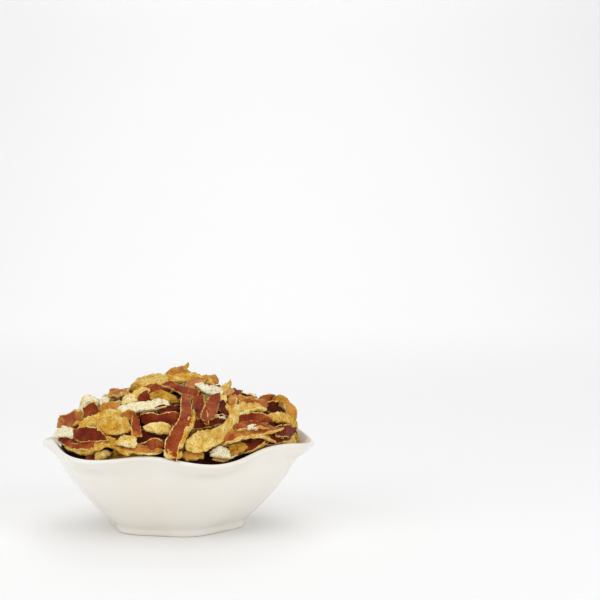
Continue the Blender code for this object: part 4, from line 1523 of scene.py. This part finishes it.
@dataclass
class PeelShop:
    """Cuts strips as closed ribbons: pitted rind, a light cut edge, and rough torn pith behind."""

    seed: int
    station: float = 0.55 * MM
    rind_across: int = 9
    pith_across: int = 9
    rind_share: float = 0.92
    edge_wobble: float = 0.10
    torn: float = 0.05
    curl: float = 0.09
    twist: float = 0.13
    pinch: float = 0.4
    slant: float = 0.4
    pith_rough: float = 0.16 * MM
    rind_rough: float = 0.05 * MM
    buckle: float = 0.26 * MM
    buckle_length: float = 14 * MM
    ragged: float = 0.16 * MM
    sideways: float = 0.07 * MM
    fewest: int = 9
    end_share: float = 0.3

    def outline(self) -> tuple[np.ndarray, np.ndarray, int]:
        """Lay out the cross-section.

        Returns:
            Places across and through, and how many of the first are rind.
        """
        rind_places = np.linspace(-self.rind_share, self.rind_share, self.rind_across)
        pith_places = np.linspace(0.84, -0.84, self.pith_across)
        edge_across = np.array([0.95, 1.0, 1.0, 0.95])
        edge_through = np.array([0.85, 0.4, -0.45, -0.9])
        across = np.r_[rind_places, edge_across, pith_places, -edge_across]
        through = np.r_[
            np.ones(self.rind_across), edge_through, -np.ones(self.pith_across), edge_through[::-1]
        ]
        return across, through, self.rind_across

    def waves(self, rng: np.random.Generator, share: np.ndarray, reach: float, lowest: float) -> np.ndarray:
        """Sum a few random waves along a strip.

        Args:
            rng: where the draws come from.
            share: places along it, 0 to 1.
            reach: how far the waves go.
            lowest: how many turns the longest makes.

        Returns:
            The wave at each place.
        """
        total = np.zeros_like(share)
        for k in range(4):
            turns = lowest * 1.8**k
            total += np.sin(share * turns * 2 * math.pi + rng.uniform(0, 6.3)) * reach / 1.5**k
        return total

    def torn_edges(self, rng: np.random.Generator, share: np.ndarray, near: list[np.ndarray]) -> np.ndarray:
        """Spread the cross-section along a strip, with wavy, torn and pinched edges.

        Args:
            rng: where the draws come from.
            share: places along it, 0 to 1.
            near: how near each place is to either end.

        Returns:
            Places across, one row a station.
        """
        across, _, rind_count = self.outline()
        edges = [
            1 + self.waves(rng, share, self.edge_wobble, 0.7) + rng.normal(0, self.torn, len(share))
            for _ in range(2)
        ]
        side = (across + 1) / 2
        spread = across * (edges[0][:, None] * (1 - side) + edges[1][:, None] * side)
        on_rind = np.arange(len(across)) < rind_count
        border = np.where(on_rind, np.abs(across / self.rind_share) ** 6, 0.0)
        inward = [1 - 0.08 * np.abs(self.waves(rng, share, 0.6, 2.2)) for _ in range(2)]
        margin = np.where(across < 0, inward[0][:, None], inward[1][:, None])
        spread = spread * (1 - border + border * margin)
        for nearness in near:
            spread = spread * (1 - rng.uniform(0, self.pinch) * nearness)[:, None]
        return spread

    def buckled(self, strip: Strip, rng: np.random.Generator, share: np.ndarray, turns: float) -> np.ndarray:
        """Find how far each point stands off the smooth strip by its buckles, curl and twist.

        Args:
            strip: the strip.
            rng: where the draws come from.
            share: places along it, 0 to 1.
            turns: how many buckles fit along it.

        Returns:
            A distance for each station and place across.
        """
        across, _, _ = self.outline()
        off = np.zeros((len(share), len(across)))
        for k in range(4):
            phase = rng.uniform(0, 6.3)
            tilt = rng.normal(0, 1.6)
            wave = np.sin(share[:, None] * turns * 1.5**k * 2 * math.pi + tilt * across[None, :] + phase)
            off += wave * self.buckle / 1.35**k * (0.55 + 0.45 * np.abs(across[None, :]))
        curl = self.waves(rng, share, self.curl, 0.6)[:, None] * (across**2 - 0.4)[None, :] * strip.width
        twist = self.waves(rng, share, self.twist, 0.5)[:, None] * across[None, :] * strip.width / 2
        return off + curl + twist

    def torn_ends(self, strip: Strip, rng: np.random.Generator, near: list[np.ndarray]) -> np.ndarray:
        """Find how far each point is pulled along the strip by slanted, pointed and ragged ends.

        Args:
            strip: the strip.
            rng: where the draws come from.
            near: how near each place is to either end.

        Returns:
            A distance for each station and place across.
        """
        across, _, _ = self.outline()
        pull = np.zeros((len(near[0]), len(across)))
        for nearness, way in zip(near, (-1, 1)):
            slant = np.clip(rng.normal(0, self.slant), -0.8, 0.8)
            point = rng.uniform(-0.3, 0.7)
            end = slant * across + point * (0.5 - across**2)
            pull += way * nearness[:, None] * end[None, :] * strip.width / 2
        ragged = rng.normal(0, self.ragged, (2, len(across)))
        pull[0] += ragged[0]
        pull[-1] += ragged[1]
        return pull

    def cut(self, strip: Strip, rng: np.random.Generator) -> np.ndarray:
        """Shape one strip, with fewer stations where it is short.

        Args:
            strip: the strip.
            rng: where the draws come from.

        Returns:
            Stations by points by coordinates.
        """
        across, through, rind_count = self.outline()
        if strip.face is Face.PITH:
            through = -through
        length = np.linalg.norm(np.diff(strip.frames[0], axis=0), axis=1).sum()
        stations = len(strip.frames[0])
        count = int(np.clip(length / self.station, self.fewest, stations))
        kept = np.linspace(0, stations - 1, count).round().astype(int)
        strip.frames = tuple(part[kept] for part in strip.frames)
        share = np.linspace(0, 1, count)
        near = [np.clip(1 - part / self.end_share, 0, 1) ** 2 for part in (share, 1 - share)]
        spread = self.torn_edges(rng, share, near)
        points = strip.section(spread, through)
        middle = strip.section(spread, 0 * through)
        close = np.minimum(share, 1 - share) * (count - 1)
        thin = np.where(close < 1, 0.6, np.where(close < 2, 0.92, 1.0))
        thick = (1 + self.waves(rng, share, 0.1, 1.0))[:, None, None]
        points = middle + (points - middle) * thin[:, None, None] * thick
        off = self.buckled(strip, rng, share, length / self.buckle_length)
        rough = rng.normal(0, 1, points.shape[:2])
        rough = (rough + 0.7 * np.roll(rough, 1, 0) + 0.7 * np.roll(rough, 1, 1)) / 1.5
        on_rind = np.arange(len(across)) < rind_count
        depth = np.where(on_rind, self.rind_rough, self.pith_rough) * min(1.0, strip.width / (4 * MM))
        sideways = rng.normal(0, self.sideways, points.shape[:2])
        _, side, face = (part[:, None, :] for part in strip.frames)
        points = points + face * (off + rough * depth[None, :])[..., None]
        points = points + side * sideways[..., None]
        return points + np.cross(side, face) * self.torn_ends(strip, rng, near)[..., None]

    def gather(
        self,
        name: str,
        strips: list[Strip],
        finishes: list[bpy.types.Material],
    ) -> bpy.types.Object:
        """Cut all strips of one kind into one piece.

        Args:
            name: the piece's name.
            strips: the strips.
            finishes: the rind and the pith.

        Returns:
            The piece.
        """
        rng = np.random.default_rng(self.seed)
        across, _, rind_count = self.outline()
        width = len(across)
        points, faces, slots, tones, pales = [], [], [], [], []
        start = 0
        for strip in strips:
            cut = self.cut(strip, rng)
            rows = len(cut)
            own = grid_faces(rows, width, start)
            marks = [0 if i % width < rind_count - 1 else 1 for i in range(len(own))]
            own.append(tuple(range(start, start + width))[::-1])
            last = start + (rows - 1) * width
            own.append(tuple(range(last, last + width)))
            marks += [1, 1]
            if strip.face is Face.PITH:
                own = [f[::-1] for f in own]
            faces += own
            slots += marks
            points.append(cut.reshape(-1, 3))
            tones += [strip.tone] * (rows * width)
            pales += [strip.pale] * (rows * width)
            start += rows * width
        piece = mesh_piece(name, np.concatenate(points), faces)
        for finish in finishes:
            piece.data.materials.append(finish)
        piece.data.polygons.foreach_set("material_index", slots)
        for label, values in (("tone", tones), ("pale", pales)):
            layer = piece.data.attributes.new(label, "FLOAT", "POINT")
            layer.data.foreach_set("value", values)
        return piece


@dataclass
class Studio:
    """Pale paper, soft light and the camera."""

    floor_half: float = 1.6
    floor_front: float = 0.75
    sweep_back: float = 1.4
    sweep_radius: float = 0.5
    pitch: float = math.radians(2.33)
    lens_mm: float = 84.0
    ambient: float = 0.53

    def floor(self) -> bpy.types.Object:
        """Lay the paper and sweep it up behind.

        Returns:
            The floor.
        """
        profile = [(-self.floor_front, 0.0), (self.sweep_back, 0.0)]
        for turn in np.linspace(0, math.pi / 2, 13)[1:]:
            profile.append(
                (
                    self.sweep_back + self.sweep_radius * math.sin(turn),
                    self.sweep_radius * (1 - math.cos(turn)),
                )
            )
        profile.append((self.sweep_back + self.sweep_radius, 2.0))
        points = [(x, y, z) for y, z in profile for x in (-self.floor_half, self.floor_half)]
        faces = [(2 * i, 2 * i + 1, 2 * i + 3, 2 * i + 2) for i in range(len(profile) - 1)]
        piece = mesh_piece("paper_sweep", np.array(points), faces)
        piece.data.materials.append(PaperSweep().make())
        return piece

    def light(
        self,
        name: str,
        place: tuple[float, float, float],
        size: float,
        power: float,
        target: tuple[float, float, float] = (0, 0, 0.03),
    ) -> None:
        """Hang one square soft light.

        Args:
            name: its name.
            place: where it hangs.
            size: how wide it is.
            power: its power in watts.
            target: what it looks at, the bowl unless given.
        """
        lamp = bpy.data.lights.new(name, "AREA")
        lamp.size = size
        lamp.energy = power
        piece = bpy.data.objects.new(name, lamp)
        piece.location = place
        aim = unit(np.array(target) - np.array(place))
        flat = math.hypot(aim[0], aim[1])
        piece.rotation_euler = (math.atan2(flat, -aim[2]), 0, math.atan2(-aim[0], aim[1]))
        bpy.context.scene.collection.objects.link(piece)

    def build(self) -> None:
        """Set up the whole studio."""
        self.floor()
        world = bpy.data.worlds.new("studio")
        world.use_nodes = True
        background = world.node_tree.nodes["Background"]
        background.inputs["Color"].default_value = (1, 1, 1, 1)
        background.inputs["Strength"].default_value = self.ambient
        bpy.context.scene.world = world
        self.light("left softbox", (-0.60, -0.60, 0.50), 0.9, 3.2)
        self.light("top softbox", (0.05, -0.05, 0.95), 0.9, 1.9)
        self.light("right softbox", (0.75, -0.55, 0.4), 0.6, 2.4)
        self.light("backdrop light", (0, 1.2, 1.6), 0.9, 10.2, (0, 1.9, 0.5))
        scene = bpy.context.scene
        scene.view_settings.view_transform = "Standard"
        lens = bpy.data.cameras.new("camera")
        lens.lens = self.lens_mm
        lens.sensor_width = 36
        camera = bpy.data.objects.new("camera", lens)
        camera.location = EYE
        camera.rotation_euler = (math.pi / 2 - self.pitch, 0, 0)
        scene.collection.objects.link(camera)
        scene.camera = camera


def main() -> None:
    """Build the bowl, the heap and the studio."""
    logging.basicConfig(level=logging.INFO, format="%(name)s: %(message)s")
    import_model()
    form = BowlForm()
    LOG.info("built %s", Bowl(form).build().name)
    for piece in Heap(form).build():
        LOG.info("built %s, %d faces", piece.name, len(piece.data.polygons))
    Studio().build()
    LOG.info("studio ready")


if __name__ == "__main__":
    main()
